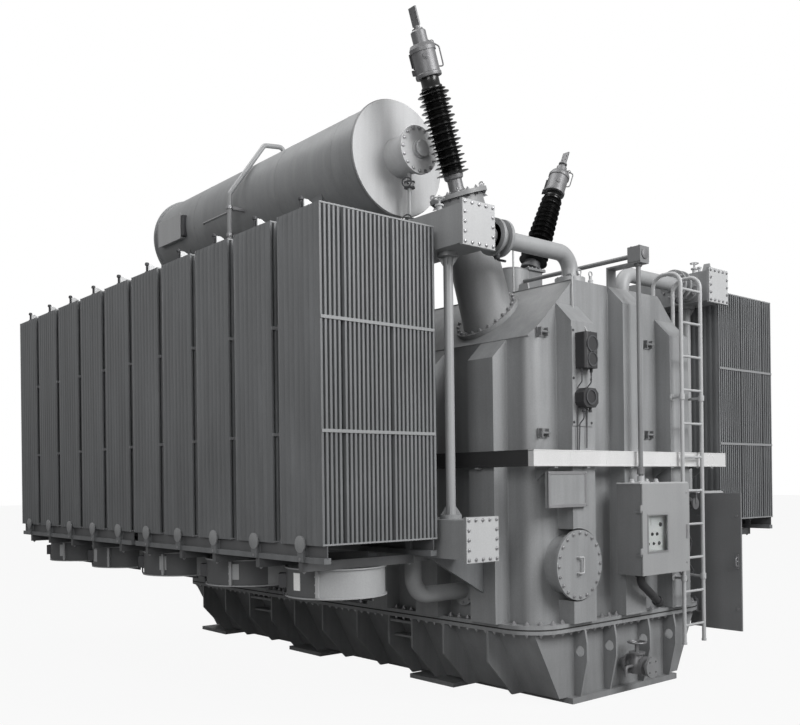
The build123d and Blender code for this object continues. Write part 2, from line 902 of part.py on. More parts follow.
def make_hinge_lug(front_x, wall_y, z):
    """The fixed half of a lift-off hinge: an arm from the wall and its upright pin."""
    x, y = hinge_axis(front_x, wall_y)
    level = (z - lug_thickness, z)
    across = (y - knuckle_radius, y + knuckle_radius)
    lug = block((front_x - lug_length, x), across, level)
    lug += block((front_x - lug_length, front_x - lug_length / 2), (across[0], wall_y), level)
    lug += rod((x, y, level[0]), (x, y, level[1]), knuckle_radius)
    return lug + rod((x, y, z), (x, y, z + hinge_pin_height), hinge_pin_radius)


def make_cabinet(x, y, z, hinge_z):
    """A sheet cabinet, open at its +X front, with its hinge lugs."""
    inside_y = (y[0] + cabinet_wall, y[1] - cabinet_wall)
    inside_z = (z[0] + cabinet_wall, z[1] - cabinet_wall)
    box = block(x, y, z) - block((x[0] + cabinet_wall, x[1]), inside_y, inside_z)
    for level in hinge_z:
        box += make_hinge_lug(x[1], y[0], level)
    return box


def make_door(front_x, y, z, hinge_z):
    """A closed door in front of a cabinet, with its hinge knuckles."""
    x = front_x + door_gap
    door = block((x, x + door_thickness), y, z)
    pin_x, pin_y = hinge_axis(front_x, y[0])
    for level in hinge_z:
        low = level + hinge_clearance
        high = low + knuckle_height
        door += block((pin_x - knuckle_radius / 2, pin_x + knuckle_radius / 2), (pin_y, y[0]), (low, high))
        door += rod((pin_x, pin_y, low), (pin_x, pin_y, high), knuckle_radius)
        door -= rod((pin_x, pin_y, low), (pin_x, pin_y, high), hinge_pin_radius + hinge_clearance)
    return door


def make_drive_cabinet():
    x = (drive_box_front_x - drive_box_depth, drive_box_front_x)
    return make_cabinet(x, drive_box_y, drive_box_z, drive_hinge_z)


def make_drive_door():
    return make_door(drive_box_front_x, drive_box_y, drive_box_z, drive_hinge_z)


def make_drive_shaft():
    """Upright shaft, bevel gear box on its bracket and the level shaft to the tap changer head."""
    z0 = drive_box_z[1]
    shaft = rod((drive_shaft_x, drive_shaft_y, z0), (drive_shaft_x, drive_shaft_y, gear_box_z),
                drive_shaft_radius)
    half = gear_box_size / 2
    across = (drive_shaft_y - gear_bracket_width / 2, drive_shaft_y + gear_bracket_width / 2)
    low = gear_box_z - half
    shaft += block((drive_shaft_x - half, drive_shaft_x + half), (drive_shaft_y - half, drive_shaft_y + half),
                   (low, gear_box_z + half))
    # Shelf under the gear box and the upright plate that carries it from the cover
    rise = gear_bracket_thickness
    shaft += block((tank_half_length - rise, drive_shaft_x + half), across, (low - rise, low))
    shaft += block((tank_half_length - 2 * rise, tank_half_length - rise), across, (cover_z, low))
    shaft += rod((head_centre[0] + head_radius, drive_shaft_y, gear_box_z),
                 (drive_shaft_x, drive_shaft_y, gear_box_z), drive_shaft_radius)
    return shaft


def make_tap_changer_head():
    x, y = head_centre
    head = rod((x, y, cover_z), (x, y, cover_z + head_height), head_radius)
    return head + rod((x, y, cover_z), (x, y, cover_z + head_flange_thickness), head_flange_radius)


def make_manhole():
    neck = rod((tank_half_length, manhole_y, manhole_z), (manhole_front_x, manhole_y, manhole_z),
               manhole_neck_radius)
    cover = rod((manhole_front_x, manhole_y, manhole_z),
                (manhole_front_x + manhole_cover_thickness, manhole_y, manhole_z), manhole_radius)
    return neck + cover


def make_ladder_rails(bell):
    """Two rails that hook over the tank's end and stand off on short stays."""
    hook_x = ladder_x - ladder_hook_reach
    rails = []
    for y in ladder_y:
        path = FilletPolyline(
            (ladder_x, y, ladder_bottom_z),
            (ladder_x, y, ladder_top_z),
            (hook_x, y, ladder_top_z),
            (hook_x, y, shoulder_height(y) - rail_tube_radius * 2),
            radius=ladder_hook_radius,
        )
        start = Plane(origin=(ladder_x, y, ladder_bottom_z), z_dir=(0, 0, 1))
        rail = sweep(start * Circle(rail_tube_radius), path=path)
        wall_x = end_stiffener_x if y < end_stiffener_y[2] + stiffener_width / 2 else tank_half_length
        for z in ladder_stay_z:
            rail += rod((wall_x, y, z), (ladder_x, y, z), rung_radius)
        rails.append(rail - bell)
    return rails


def make_ladder_rungs():
    """Rungs between the rails, with their ends shaped to the round tubes."""
    rungs = []
    for index in range(rung_count):
        z = ladder_bottom_z + first_rung_height + index * rung_pitch
        rung = rod((ladder_x, ladder_y[0], z), (ladder_x, ladder_y[1], z), rung_radius)
        for y in ladder_y:
            low, high = (ladder_x, y, z - rung_pitch / 2), (ladder_x, y, z + rung_pitch / 2)
            rung -= rod(low, high, rail_tube_radius)
        rungs += rung.solids()
    return rungs


def make_control_cabinet():
    cabinet = make_cabinet(control_box_x, control_box_y, control_box_z, control_hinge_z)
    return cabinet + make_cabinet_bars()


def make_control_door():
    """The cabinet's door, turned from closed to open at a right angle."""
    door = make_door(control_box_x[1], control_box_y, control_box_z, control_hinge_z)
    pin_x, pin_y = hinge_axis(control_box_x[1], control_box_y[0])
    return door.rotate(Axis((pin_x, pin_y, 0), (0, 0, 1)), -90)


def make_cabinet_bars():
    """Two angled bars from the tank's first side stiffener that carry the control cabinet."""
    bars = []
    near_edge = side_stiffener_first_x + stiffener_width / 2
    for bottom in cabinet_bar_z:
        z = (bottom, bottom + cabinet_bar_width)
        arm_y = (side_stiffener_y, side_stiffener_y + cabinet_bar_width)
        arm = block((near_edge - cabinet_bar_lap, control_box_x[0]), arm_y, z)
        back_x = (control_box_x[0] - cabinet_bar_width, control_box_x[0])
        back = block(back_x, (side_stiffener_y, control_box_y[1]), z)
        bars.append(arm + back)
    return bars


def make_drain_valve():
    wall_x = tank_half_length
    seat_x = wall_x + drain_reach
    face_x = seat_x + drain_flange_thickness
    pipe = rod((wall_x, drain_y, drain_z), (seat_x, drain_y, drain_z), drain_pipe_radius)
    flange = rod((seat_x, drain_y, drain_z), (face_x, drain_y, drain_z), drain_flange_radius)
    for index in range(drain_hole_count):
        angle = math.radians(45 + 360 * index / drain_hole_count)
        y = drain_y + drain_hole_circle / 2 * math.cos(angle)
        z = drain_z + drain_hole_circle / 2 * math.sin(angle)
        flange -= rod((seat_x, y, z), (face_x, y, z), drain_hole_radius)
    return pipe + flange


def both_sides(make):
    return make(-1) + make(1)


def make_gauge_plate():
    """The flat plate on the near left end stiffener that carries the instruments."""
    return block((end_stiffener_x, end_stiffener_x + gauge_plate_thickness), gauge_plate_y, gauge_plate_z)


def make_gauges():
    """Two closed instrument housings: a rounded one and one with cut corners."""
    x = end_stiffener_x + gauge_plate_thickness
    y = (gauge_y - gauge_width / 2, gauge_y + gauge_width / 2)
    tall = block((x, x + gauge_depth), y, gauge_z)
    tall = fillet(tall.edges().filter_by(Axis.Z).group_by(Axis.X)[-1], gauge_rounding)
    y = (gauge_y - small_gauge_width / 2, gauge_y + small_gauge_width / 2)
    small = block((x, x + small_gauge_depth), y, small_gauge_z)
    small = chamfer(small.edges().filter_by(Axis.X), small_gauge_chamfer)
    return [tall, small]


def make_plate_holder():
    x = (end_stiffener_x, end_stiffener_x + plate_holder_depth)
    return block(x, plate_holder_y, plate_holder_z)


bell = make_tank_bell()
save("lower_pan", make_lower_pan())
save("foot_plates", *make_foot_plates())
save("side_gussets", *make_side_gussets())
save("end_gussets", *make_end_gussets())
save("joint_gasket", flange_plate(lower_flange_top, upper_flange_bottom))
save("tank_bell", bell)
save("side_stiffeners", *both_sides(make_side_stiffeners))
save("end_stiffeners", *make_end_stiffeners())
save("cable_tray", make_cable_tray())
for side, name in ((-1, "left"), (1, "right")):
    save(f"radiators_{name}_near", *make_radiators(side, 0))
    save(f"radiators_{name}_far", *make_radiators(side, radiators_per_rail))
    save(f"upper_duct_{name}", make_duct(side, upper_duct_bottom_z, upper_duct_near_x[side]))
save("lower_duct_left", make_duct(-1, lower_duct_bottom_z, lower_duct_near_x[-1]))
save("lower_duct_right", make_duct(1, lower_duct_bottom_z, lower_duct_near_x[1]))
save("standpipes", *both_sides(make_standpipes))
save("upper_pipes", make_upper_pipe(-1), make_upper_pipe(1))
save("lower_pipes", make_lower_pipe(-1), make_lower_pipe(1))
save("duct_brackets", *both_sides(make_duct_brackets))
save("fan_rails", *both_sides(make_fan_rails))
save("fan_beams", *both_sides(make_fan_beams))
save("fan_drums", *both_sides(make_fan_drums))
save("fan_motors", *both_sides(make_fan_motors))
shell = make_conservator_shell()
near_end = make_conservator_near_end()
save("conservator_shell", shell)
save("conservator_near_end", near_end)
save("conservator_far_end", make_conservator_far_end())
save("conservator_saddles", *make_saddles())
save("neck_drain", make_neck_drain(near_end))
save("breather_pipe", make_breather_pipe(shell))
save("hv_turret", make_hv_turret(bell))
hv_top = hv_turret_length + turret_flange_thickness
save("hv_insulator", make_insulator(hv_base, hv_tilt, hv_top, hv_foot_length, hv_shed_length,
                                    neck_glaze_length, (hv_shed_bottom_radius, hv_shed_top_radius)))
hv_head_start = hv_top + hv_foot_length + hv_shed_length + neck_glaze_length
save("hv_cap", make_head(hv_base, hv_tilt, hv_head_start, (hv_head_radius, hv_head_height),
                         (hv_dome_radius, hv_dome_height)))
save("rear_turret", make_rear_turret())
rear_start = rear_foot_length / 2
save("rear_insulator", make_insulator(rear_foot, rear_tilt, rear_start, rear_foot_length, rear_shed_length,
                                      rear_neck_length, (rear_shed_bottom_radius, rear_shed_top_radius)))
rear_head_start = rear_start + rear_foot_length + rear_shed_length + rear_neck_length
save("rear_cap", make_head(rear_foot, rear_tilt, rear_head_start, (rear_head_radius, rear_head_height),
                           (rear_dome_radius, rear_dome_height)))
save("drive_cabinet", make_drive_cabinet())
save("drive_cabinet_door", make_drive_door())
save("drive_shaft", make_drive_shaft())
save("tap_changer_head", make_tap_changer_head())
save("manhole", make_manhole())
save("gauge_plate", make_gauge_plate())
save("gauges", *make_gauges())
save("plate_holder", make_plate_holder())
save("ladder_rails", *make_ladder_rails(bell))
save("ladder_rungs", *make_ladder_rungs())
save("control_cabinet", make_control_cabinet())
save("control_cabinet_door", make_control_door())
save("drain_valve", make_drain_valve())
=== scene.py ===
import bpy, math
from mathutils import Vector, Matrix


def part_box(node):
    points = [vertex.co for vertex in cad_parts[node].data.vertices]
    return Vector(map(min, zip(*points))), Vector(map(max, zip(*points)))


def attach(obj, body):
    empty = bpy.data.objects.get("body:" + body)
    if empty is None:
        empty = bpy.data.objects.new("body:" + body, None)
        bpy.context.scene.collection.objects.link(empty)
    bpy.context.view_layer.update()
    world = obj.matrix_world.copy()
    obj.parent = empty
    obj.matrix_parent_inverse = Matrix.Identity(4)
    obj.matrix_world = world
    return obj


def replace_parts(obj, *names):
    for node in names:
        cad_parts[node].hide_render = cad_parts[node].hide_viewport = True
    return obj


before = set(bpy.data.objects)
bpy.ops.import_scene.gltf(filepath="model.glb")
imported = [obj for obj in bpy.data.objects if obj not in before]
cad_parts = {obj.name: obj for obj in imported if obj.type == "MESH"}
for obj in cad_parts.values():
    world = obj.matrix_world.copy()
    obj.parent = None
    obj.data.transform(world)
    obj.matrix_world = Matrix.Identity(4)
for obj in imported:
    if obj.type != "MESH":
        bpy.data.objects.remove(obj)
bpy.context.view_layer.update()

scene = bpy.context.scene


# Materials
WHITE = (1, 1, 1, 1)


def links_for(mat):
    mat.use_nodes = True
    tree = mat.node_tree
    return tree.nodes, tree.links, tree.nodes["Principled BSDF"]


def put(node, values):
    for socket, value in values.items():
        node.inputs[socket].default_value = value


def mapped(n, l, fac, source, target):
    """A value mapped from one range to another."""
    ramp = n.new("ShaderNodeMapRange")
    put(ramp, {"From Min": source[0], "From Max": source[1], "To Min": target[0], "To Max": target[1]})
    l.new(fac, ramp.inputs["Value"])
    return ramp.outputs["Result"]


def multiplied(n, l, a, b):
    mul = n.new("ShaderNodeMix")
    mul.data_type = "RGBA"
    mul.blend_type = "MULTIPLY"
    mul.inputs["Factor"].default_value = 1.0
    l.new(a, mul.inputs["A"])
    l.new(b, mul.inputs["B"])
    return mul.outputs["Result"]


def paint(name, colour, rough=0.45, metallic=0.0, cloud=0.12, streak=0.10, bump=0.15, coat=0.0, painted_low_shade=0.0):
    """Painted or bare metal: soft clouds, rain streaks down Z, fine specks, orange peel and optional painted
    shade low down.
    """
    mat = bpy.data.materials.new(name)
    n, l, shader = links_for(mat)
    place = n.new("ShaderNodeTexCoord").outputs["Object"]
    stretch = n.new("ShaderNodeMapping")
    stretch.inputs["Scale"].default_value = (5.0, 5.0, 0.35)
    l.new(place, stretch.inputs["Vector"])

    def noise(scale, detail, source, roughness=0.55):
        node = n.new("ShaderNodeTexNoise")
        put(node, {"Scale": scale, "Detail": detail, "Roughness": roughness})
        l.new(source, node.inputs["Vector"])
        return node.outputs["Fac"]

    def shade(fac, low, high, mix_in, amount):
        return multiplied(n, l, mix_in, mapped(n, l, fac, (low, high), (1.0 - amount, 1.0 + amount * 0.6)))

    base = n.new("ShaderNodeRGB")
    base.outputs[0].default_value = (*colour, 1.0)
    clouds = noise(1.3, 5.0, place)
    out = shade(clouds, 0.3, 0.7, base.outputs[0], cloud)
    if streak:
        out = shade(noise(1.7, 6.0, stretch.outputs["Vector"], 0.65), 0.35, 0.72, out, streak)
    out = shade(noise(90.0, 3.0, place), 0.35, 0.65, out, 0.05)
    # Painted shade: the colour darkens towards the bottom, from 0.9 m down to the floor
    if painted_low_shade:
        height = n.new("ShaderNodeSeparateXYZ")
        l.new(place, height.inputs["Vector"])
        out = multiplied(n, l, out, mapped(n, l, height.outputs["Z"], (0.0, 0.9), (1.0 - painted_low_shade, 1.0)))
    l.new(out, shader.inputs["Base Color"])
    shader.inputs["Metallic"].default_value = metallic
    if coat:
        put(shader, {"Coat Weight": coat, "Coat Roughness": 0.12})
    roughness = mapped(n, l, clouds, (0.3, 0.7), (max(0.02, rough - 0.08), min(1.0, rough + 0.10)))
    l.new(roughness, shader.inputs["Roughness"])
    bumps = n.new("ShaderNodeBump")
    put(bumps, {"Strength": bump, "Distance": 0.002})
    l.new(noise(220.0, 2.0, place), bumps.inputs["Height"])
    l.new(bumps.outputs["Normal"], shader.inputs["Normal"])
    return mat


# Tank paint with painted shade low down, where the pan stands in shadow
TANK = paint("tank_paint", (0.265, 0.27, 0.275), rough=0.40, cloud=0.12, streak=0.14, painted_low_shade=0.18)
TANK_LIGHT = paint("plate_paint", (0.40, 0.405, 0.41), rough=0.40, cloud=0.06, streak=0.05)
RADIATOR = paint("radiator_paint", (0.16, 0.165, 0.17), rough=0.42, cloud=0.12, streak=0.18)
FAN = paint("fan_paint", (0.36, 0.365, 0.37), rough=0.38, cloud=0.06, streak=0.04)
CONSERVATOR = paint("conservator_paint", (0.26, 0.265, 0.27), rough=0.40, cloud=0.10, streak=0.12)
TRAY = paint("tray_metal", (0.80, 0.80, 0.80), rough=0.33, metallic=0.35, cloud=0.04, streak=0.03)
CAST = paint("cast_head", (0.19, 0.19, 0.195), rough=0.42, metallic=0.35, cloud=0.08, streak=0.04, bump=0.3)
GLAZE = paint("insulator_glaze", (0.007, 0.007, 0.007), rough=0.26, cloud=0.15, streak=0.0, bump=0.05,
              coat=0.15)
RUBBER = paint("gasket_rubber", (0.02, 0.02, 0.02), rough=0.75, cloud=0.1, streak=0.0)
BLACK = paint("instrument_black", (0.03, 0.03, 0.032), rough=0.42, cloud=0.08, streak=0.0)
STEEL = paint("bolt_steel", (0.40, 0.40, 0.41), rough=0.35, metallic=0.7, cloud=0.10, streak=0.0)
DARK = paint("dark_fitting", (0.055, 0.056, 0.06), rough=0.5, cloud=0.1, streak=0.0)
PLATE = paint("cover_plate_paint", (0.45, 0.455, 0.46), rough=0.36, cloud=0.05, streak=0.03)
STRIP = paint("tie_strip_paint", (0.24, 0.245, 0.25), rough=0.42, cloud=0.08, streak=0.0)
# Near-black copy of the tray metal for the long sides: painted shade
TRAY_SIDE_SHADE = paint("tray_side_painted_shade", (0.055, 0.055, 0.056), rough=0.42, metallic=0.25, cloud=0.08, streak=0.05)
DUCT = paint("duct_paint", (0.27, 0.275, 0.28), rough=0.42, cloud=0.08, streak=0.10)
PIPE = paint("pipe_paint", (0.31, 0.315, 0.32), rough=0.38, cloud=0.06, streak=0.04)
TURRET = paint("turret_paint", (0.26, 0.263, 0.267), rough=0.42, cloud=0.12, streak=0.12)
DOOR = paint("door_paint", (0.285, 0.289, 0.293), rough=0.38, cloud=0.06, streak=0.05)
BOX = paint("cabinet_paint", (0.19, 0.193, 0.197), rough=0.42, cloud=0.08, streak=0.08)
END = paint("end_plate_paint", (0.72, 0.725, 0.73), rough=0.38, cloud=0.05, streak=0.04)
# Lighter copy of the conservator paint for its near end, which faces the light: painted light
CONSERVATOR_LIT_END = paint("conservator_end_painted_light", (0.50, 0.504, 0.51), rough=0.5, cloud=0.10, streak=0.10)
PAPER = paint("inner_panel_paint", (0.88, 0.88, 0.87), rough=0.6, cloud=0.03, streak=0.0)
# Near-black paint that stands in for the shade under the radiators: painted shade on the fan beams, the rail
# webs and the sheets on the fan drums
SHADE_BLACK = paint("shade_black_paint", (0.10, 0.102, 0.105), rough=0.5, cloud=0.08, streak=0.05)


def clear_pane():
    mat = bpy.data.materials.new("clear_pane")
    n, l, shader = links_for(mat)
    put(shader, {"Base Color": (0.93, 0.95, 0.95, 1.0), "Transmission Weight": 1.0, "IOR": 1.45})
    place = n.new("ShaderNodeTexCoord")
    smear = n.new("ShaderNodeTexNoise")
    smear.inputs["Scale"].default_value = 6.0
    l.new(place.outputs["Object"], smear.inputs["Vector"])
    l.new(mapped(n, l, smear.outputs["Fac"], (0.0, 1.0), (0.01, 0.07)), shader.inputs["Roughness"])
    return mat


GLASS = clear_pane()

NODES_OF = (
    (RUBBER, "joint_gasket"), (TRAY, "cable_tray"), (BLACK, "gauges"), (GLAZE, "hv_insulator rear_insulator"),
    (CAST, "hv_cap rear_cap"), (FAN, "fan_drums"), (DARK, "fan_motors"), (SHADE_BLACK, "fan_beams"),
    (TURRET, "hv_turret"),
    (RADIATOR, "fan_rails duct_brackets conservator_saddles"),
    (TANK_LIGHT, "neck_drain ladder_rails ladder_rungs"),
    (PIPE, "breather_pipe upper_pipes lower_pipes standpipes"),
    (BOX, "drain_valve drive_shaft drive_cabinet control_cabinet control_cabinet_door rear_turret"),
    (CONSERVATOR, "conservator_shell conservator_far_end"), (CONSERVATOR_LIT_END, "conservator_near_end"),
    (DUCT, "upper_duct_left upper_duct_right lower_duct_left lower_duct_right"),
)
BY_NODE = {name: material for material, names in NODES_OF for name in names.split()}
# Each CAD part takes the material listed for its node; radiators take radiator_paint, all others tank_paint
for name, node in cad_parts.items():
    chosen = RADIATOR if name.startswith("radiators") else BY_NODE.get(name, TANK)
    node.data.materials.clear()
    node.data.materials.append(chosen)


# Mesh kit
UP, DOWN, FORE = (0, 0, 1), (0, 0, -1), (1, 0, 0)


def heading(t):
    """A level direction at an angle."""
    return Vector((math.cos(t), math.sin(t), 0))


def angles(count, start=0.0):
    return [math.tau * i / count + start for i in range(count)]


def span(side, a, b):
    """Two distances on one side of the middle, in rising order."""
    return sorted((side * a, side * b))


def axes_for(axis):
    """Two directions square to an axis."""
    axis = Vector(axis).normalized()
    helper = Vector(UP) if abs(axis.z) < 0.9 else Vector(FORE)
    u = axis.cross(helper).normalized()
    return axis, u, axis.cross(u)


def rounded(points, radius, steps=6):
    """A path through points with arcs at its corners."""
    points = [Vector(p) for p in points]
    path = [points[0]]
    for a, b, c in zip(points, points[1:], points[2:]):
        into, out = (b - a).normalized(), (c - b).normalized()
        angle = into.angle(out)
        if angle < 0.02:
            continue
        cut = min(radius * math.tan(angle / 2), (b - a).length * 0.49, (c - b).length * 0.49)
        start, end = b - into * cut, b + out * cut
        for k in range(steps + 1):
            t = k / steps
            path.append(start * (1 - t) ** 2 + b * 2 * t * (1 - t) + end * t ** 2)
    path.append(points[-1])
    return path


class Kit:
    """Collects many small solids into one mesh."""

    def __init__(self):
        self.verts, self.faces = [], []

    def loft(self, rings, caps=True):
        n, start = len(rings[0]), len(self.verts)
        for ring in rings:
            self.verts += [tuple(p) for p in ring]
        for k in range(len(rings) - 1):
            a = start + k * n
            for i in range(n):
                j = (i + 1) % n
                self.faces.append((a + i, a + j, a + n + j, a + n + i))
        if caps:
            self.faces.append(tuple(start + i for i in reversed(range(n))))
            last = start + (len(rings) - 1) * n
            self.faces.append(tuple(last + i for i in range(n)))

    def box(self, x, y, z):
        ring = [(x[0], y[0]), (x[1], y[0]), (x[1], y[1]), (x[0], y[1])]
        self.loft([[(px, py, h) for px, py in ring] for h in z])

    def prism(self, points, offset):
        """A flat outline of 3-D points pushed by an offset."""
        offset = Vector(offset)
        self.loft([[Vector(p) for p in points], [Vector(p) + offset for p in points]])

    def block(self, base, out, across, rise):
        """A block on a wall: how far it stands out, half its width, its height."""
        self.prism([base - across, base + out - across, base + out + across, base + across], rise)

    def turned(self, base, axis, profile, n=20, caps=True):
        """A profile turned about an axis; each row is a radius and one or more heights."""
        axis, u, v = axes_for(axis)
        base = Vector(base)
        rings = []
        for radius, *heights in profile:
            rim = [(u * math.cos(t) + v * math.sin(t)) * max(radius, 0.0004) for t in angles(n)]
            rings += [[base + axis * height + p for p in rim] for height in heights]
        self.loft(rings, caps)

    def disc(self, base, axis, radius, height, n=20):
        self.turned(base, axis, [(radius, 0, height)], n)

    def rod(self, a, b, radius, n=12):
        along = Vector(b) - Vector(a)
        self.disc(a, along, radius, along.length, n)

    def ring(self, base, axis, outer, inner, height, n=28):
        """A flat ring or short tube."""
        self.turned(base, axis, [(inner, 0), (outer, 0, height), (inner, height, 0)], n, False)

    def hoop(self, centre, axis, radius, thick, n=36, m=8):
        """A round bar bent to a circle."""
        axis, u, v = axes_for(axis)
        centre = Vector(centre)
        rings = []
        for i in range(n + 1):
            t = math.tau * i / n
            out = u * math.cos(t) + v * math.sin(t)
            rings.append([centre + out * (radius + thick * math.cos(s)) + axis * thick * math.sin(s)
                          for s in angles(m)])
        self.loft(rings, False)

    def pipe(self, points, radius, bend=0.05, n=10, steps=6):
        """A round bar or hose along a path."""
        path = rounded(points, bend, steps)
        tangent = (path[1] - path[0]).normalized()
        _, u, v = axes_for(tangent)
        rings = []
        for i, p in enumerate(path):
            ahead = path[min(i + 1, len(path) - 1)] - path[max(i - 1, 0)]
            new = ahead.normalized()
            turn = tangent.rotation_difference(new)
            u, v, tangent = turn @ u, turn @ v, new
            rings.append([p + (u * math.cos(t) + v * math.sin(t)) * radius for t in angles(n)])
        self.loft(rings)

    def bolt(self, base, axis, radius=0.014, height=0.011):
        """A hexagon head on a washer, with a short stud end."""
        base, axis = Vector(base), Vector(axis).normalized()
        self.disc(base, axis, radius * 1.3, height * 0.25, 10)
        self.turned(base, axis, [(radius, height * 0.25, height * 0.9), (radius * 0.8, height)], 6)
        self.turned(base + axis * height, axis, [(radius * 0.5, 0), (radius * 0.45, height * 0.5)], 6)

    def bolt_circle(self, centre, axis, pitch_radius, count, radius=0.014, height=0.011, turn=0.0):
        axis, u, v = axes_for(axis)
        for t in angles(count, turn):
            place = Vector(centre) + (u * math.cos(t) + v * math.sin(t)) * pitch_radius
            self.bolt(place, axis, radius, height)

    def make(self, name, material, slot=None, body="root", smooth=40, bevel=0.0):
        mesh = bpy.data.meshes.new(name)
        mesh.from_pydata(self.verts, [], self.faces)
        mesh.validate()
        mesh.polygons.foreach_set("use_smooth", [True] * len(mesh.polygons))
        mesh.set_sharp_from_angle(angle=math.radians(smooth))
        mesh.materials.append(material)
        obj = bpy.data.objects.new(name, mesh)
        scene.collection.objects.link(obj)
        if bevel:
            mod = obj.modifiers.new("edges", "BEVEL")
            mod.width = bevel
            mod.segments = 2
            mod.limit_method = "ANGLE"
            mod.harden_normals = True
        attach(obj, body)
        return obj


# Places that several pieces share, from the CAD
TANK_END, END_FACE, TANK_SIDE = 2.86, 3.02, 1.15
COVER_Z, DUCT_TOP, DUCT_Y = 3.55, 3.955, 1.77
END_STIFFENERS, STIFFENER_HALF = (-0.695, 0.0, 0.695), 0.145
CONSERVATOR_R, BREATHER_X, BREATHER_Y = 0.49, -0.17, -2.14
LADDER_X, SHAFT_Y = 3.125, -0.06


def conservator_at(x):
    """A point on the conservator's middle line."""
    return (x, -1.5, 4.707)


def stiffener_x(k):
    """Middle of a box stiffener on the long sides, counted from the near end."""
    return 2.448 - 0.7 * k


# Radiators: pressed panels with upright flutes, joined by headers and tie strips
PANELS, PANEL_T, PANEL_W = 27, 0.020, 0.535
OUTER_Y, INNER_Y, LOW_Z, TOP_Z = 3.07, 2.0, 1.42, 3.81
FLUTES = 8


def radiator_x(index):
    return 2.65 - PANEL_W / 2 - index * 0.627


def fan_x(index):
    """Each fan stands under two radiators."""
    return (radiator_x(2 * index) + radiator_x(2 * index + 1)) / 2


def panel_y(index):
    """Places of the panels: groups of 5, 11 and 11 with slightly wider gaps between them."""
    extra = 0.016
    pitch = (OUTER_Y - INNER_Y - PANEL_T - 2 * extra) / (PANELS - 1)
    group = (index >= 5) + (index >= 16)
    return OUTER_Y - PANEL_T / 2 - index * pitch - group * extra


def panel_outline(cx, cy, share):
    """Fluted cross-section; share is 1 in the middle of the panel and 0 at its pressed rims."""
    ridge, valley = 0.004 + 0.009 * share, 0.004
    half, edge = PANEL_W / 2, 0.012
    flute = (PANEL_W - 2 * edge) / FLUTES
    side = [(-half, 0.008), (-half + 0.001, 0.010), (-half + 0.008, 0.010)]
    for f in range(FLUTES):
        x0 = -half + edge + f * flute
        side += [(x0, valley), (x0 + flute * 0.22, ridge), (x0 + flute * 0.78, ridge)]
    side += [(half - edge, valley), (half - 0.008, 0.010), (half - 0.001, 0.010), (half, 0.008)]
    return [(cx + x, cy - t) for x, t in side] + [(cx + x, cy + t) for x, t in reversed(side)]


def radiators(name, side, first):
    kit = Kit()
    for index in range(first, first + 5):
        cx = radiator_x(index)
        for k in range(PANELS):
            cy = side * panel_y(k)
            rings = []
            for z, share in ((LOW_Z, 0), (LOW_Z + 0.05, 1), (TOP_Z - 0.05, 1), (TOP_Z, 0)):
                rings.append([(x, y, z) for x, y in panel_outline(cx, cy, share)])
            kit.loft(rings)
        for z in (LOW_Z + 0.085, TOP_Z - 0.085):
            kit.rod((cx, side * (OUTER_Y - 0.01), z), (cx, side * (INNER_Y + 0.002), z), 0.042, 14)
        # Headers end in the duct's stubs
        for z, stub in ((LOW_Z + 0.085, 1.415), (TOP_Z - 0.085, 3.805)):
            kit.box((cx - 0.05, cx + 0.05), span(side, INNER_Y - 0.012, INNER_Y + 0.004),
                    (min(z, stub) - 0.05, max(z, stub) + 0.05))
    return kit.make(name, RADIATOR, smooth=50)


for bank, side in (("left", -1), ("right", 1)):
    for place, first in (("near", 0), ("far", 5)):
        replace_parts(radiators(f"fluted_panels_{bank}_{place}", side, first), f"radiators_{bank}_{place}")

strips, lugs, plugs = Kit(), Kit(), Kit()
for side in (-1, 1):
    for index in range(10):
        cx = radiator_x(index)
        for end in (-1, 1):
            face = cx + end * PANEL_W / 2
            if face < -3.525:    # the far face ends the CAD box
                continue
            for z in (2.21, 3.0):
                strips.box(sorted((face, face + end * 0.006)), span(side, INNER_Y + 0.01, OUTER_Y - 0.002),
                           (z, z + 0.024))
            for z in (LOW_Z + 0.002, TOP_Z - 0.014):
                strips.box(sorted((face - end * 0.004, face + end * 0.003)),
                           span(side, INNER_Y, OUTER_Y - 0.002), (z, z + 0.012))
        # Lifting lug and vent plug on the top, drain plug under the lower header
        y = side * 3.035
        x = cx + 0.03
        lugs.prism([(x, y, TOP_Z - 0.01), (x, y, TOP_Z + 0.07), (x, y - side * 0.035, TOP_Z + 0.07),
                    (x, y - side * 0.19, TOP_Z - 0.01)], (0.012, 0, 0))
        plugs.turned((cx, y, TOP_Z - 0.03), UP,
                     [(0.02, 0, 0.04), (0.011, 0.045, 0.095), (0.019, 0.1), (0.021, 0.112), (0.016, 0.124),
                      (0.004, 0.128)], 12)
        plugs.turned((cx, side * 3.0, LOW_Z - 0.03), UP, [(0.016, 0, 0.012), (0.01, 0.014, 0.05)], 8)
strips.make("radiator_tie_strips", STRIP, bevel=0.001)
lugs.make("radiator_lifting_lugs", END, bevel=0.002)
plugs.make("radiator_plugs", DARK)

# Bolts, sorted by what they hold
bolts, dark_bolts, plates = Kit(), Kit(), Kit()


def plate_bolts(kit, x, sign, y, z, per_side=5, inset=0.026):
    """Bolts round a square plate that faces along X."""
    for i in range(per_side):
        t = i / (per_side - 1)
        across, rise = (w[0] + inset + t * (w[1] - w[0] - 2 * inset) for w in (y, z))
        places = [(across, z[0] + inset), (across, z[1] - inset)]
        if 0 < i < per_side - 1:
            places += [(y[0] + inset, rise), (y[1] - inset, rise)]
        for place in places:
            kit.bolt((x, *place), (sign, 0, 0), 0.012, 0.01)


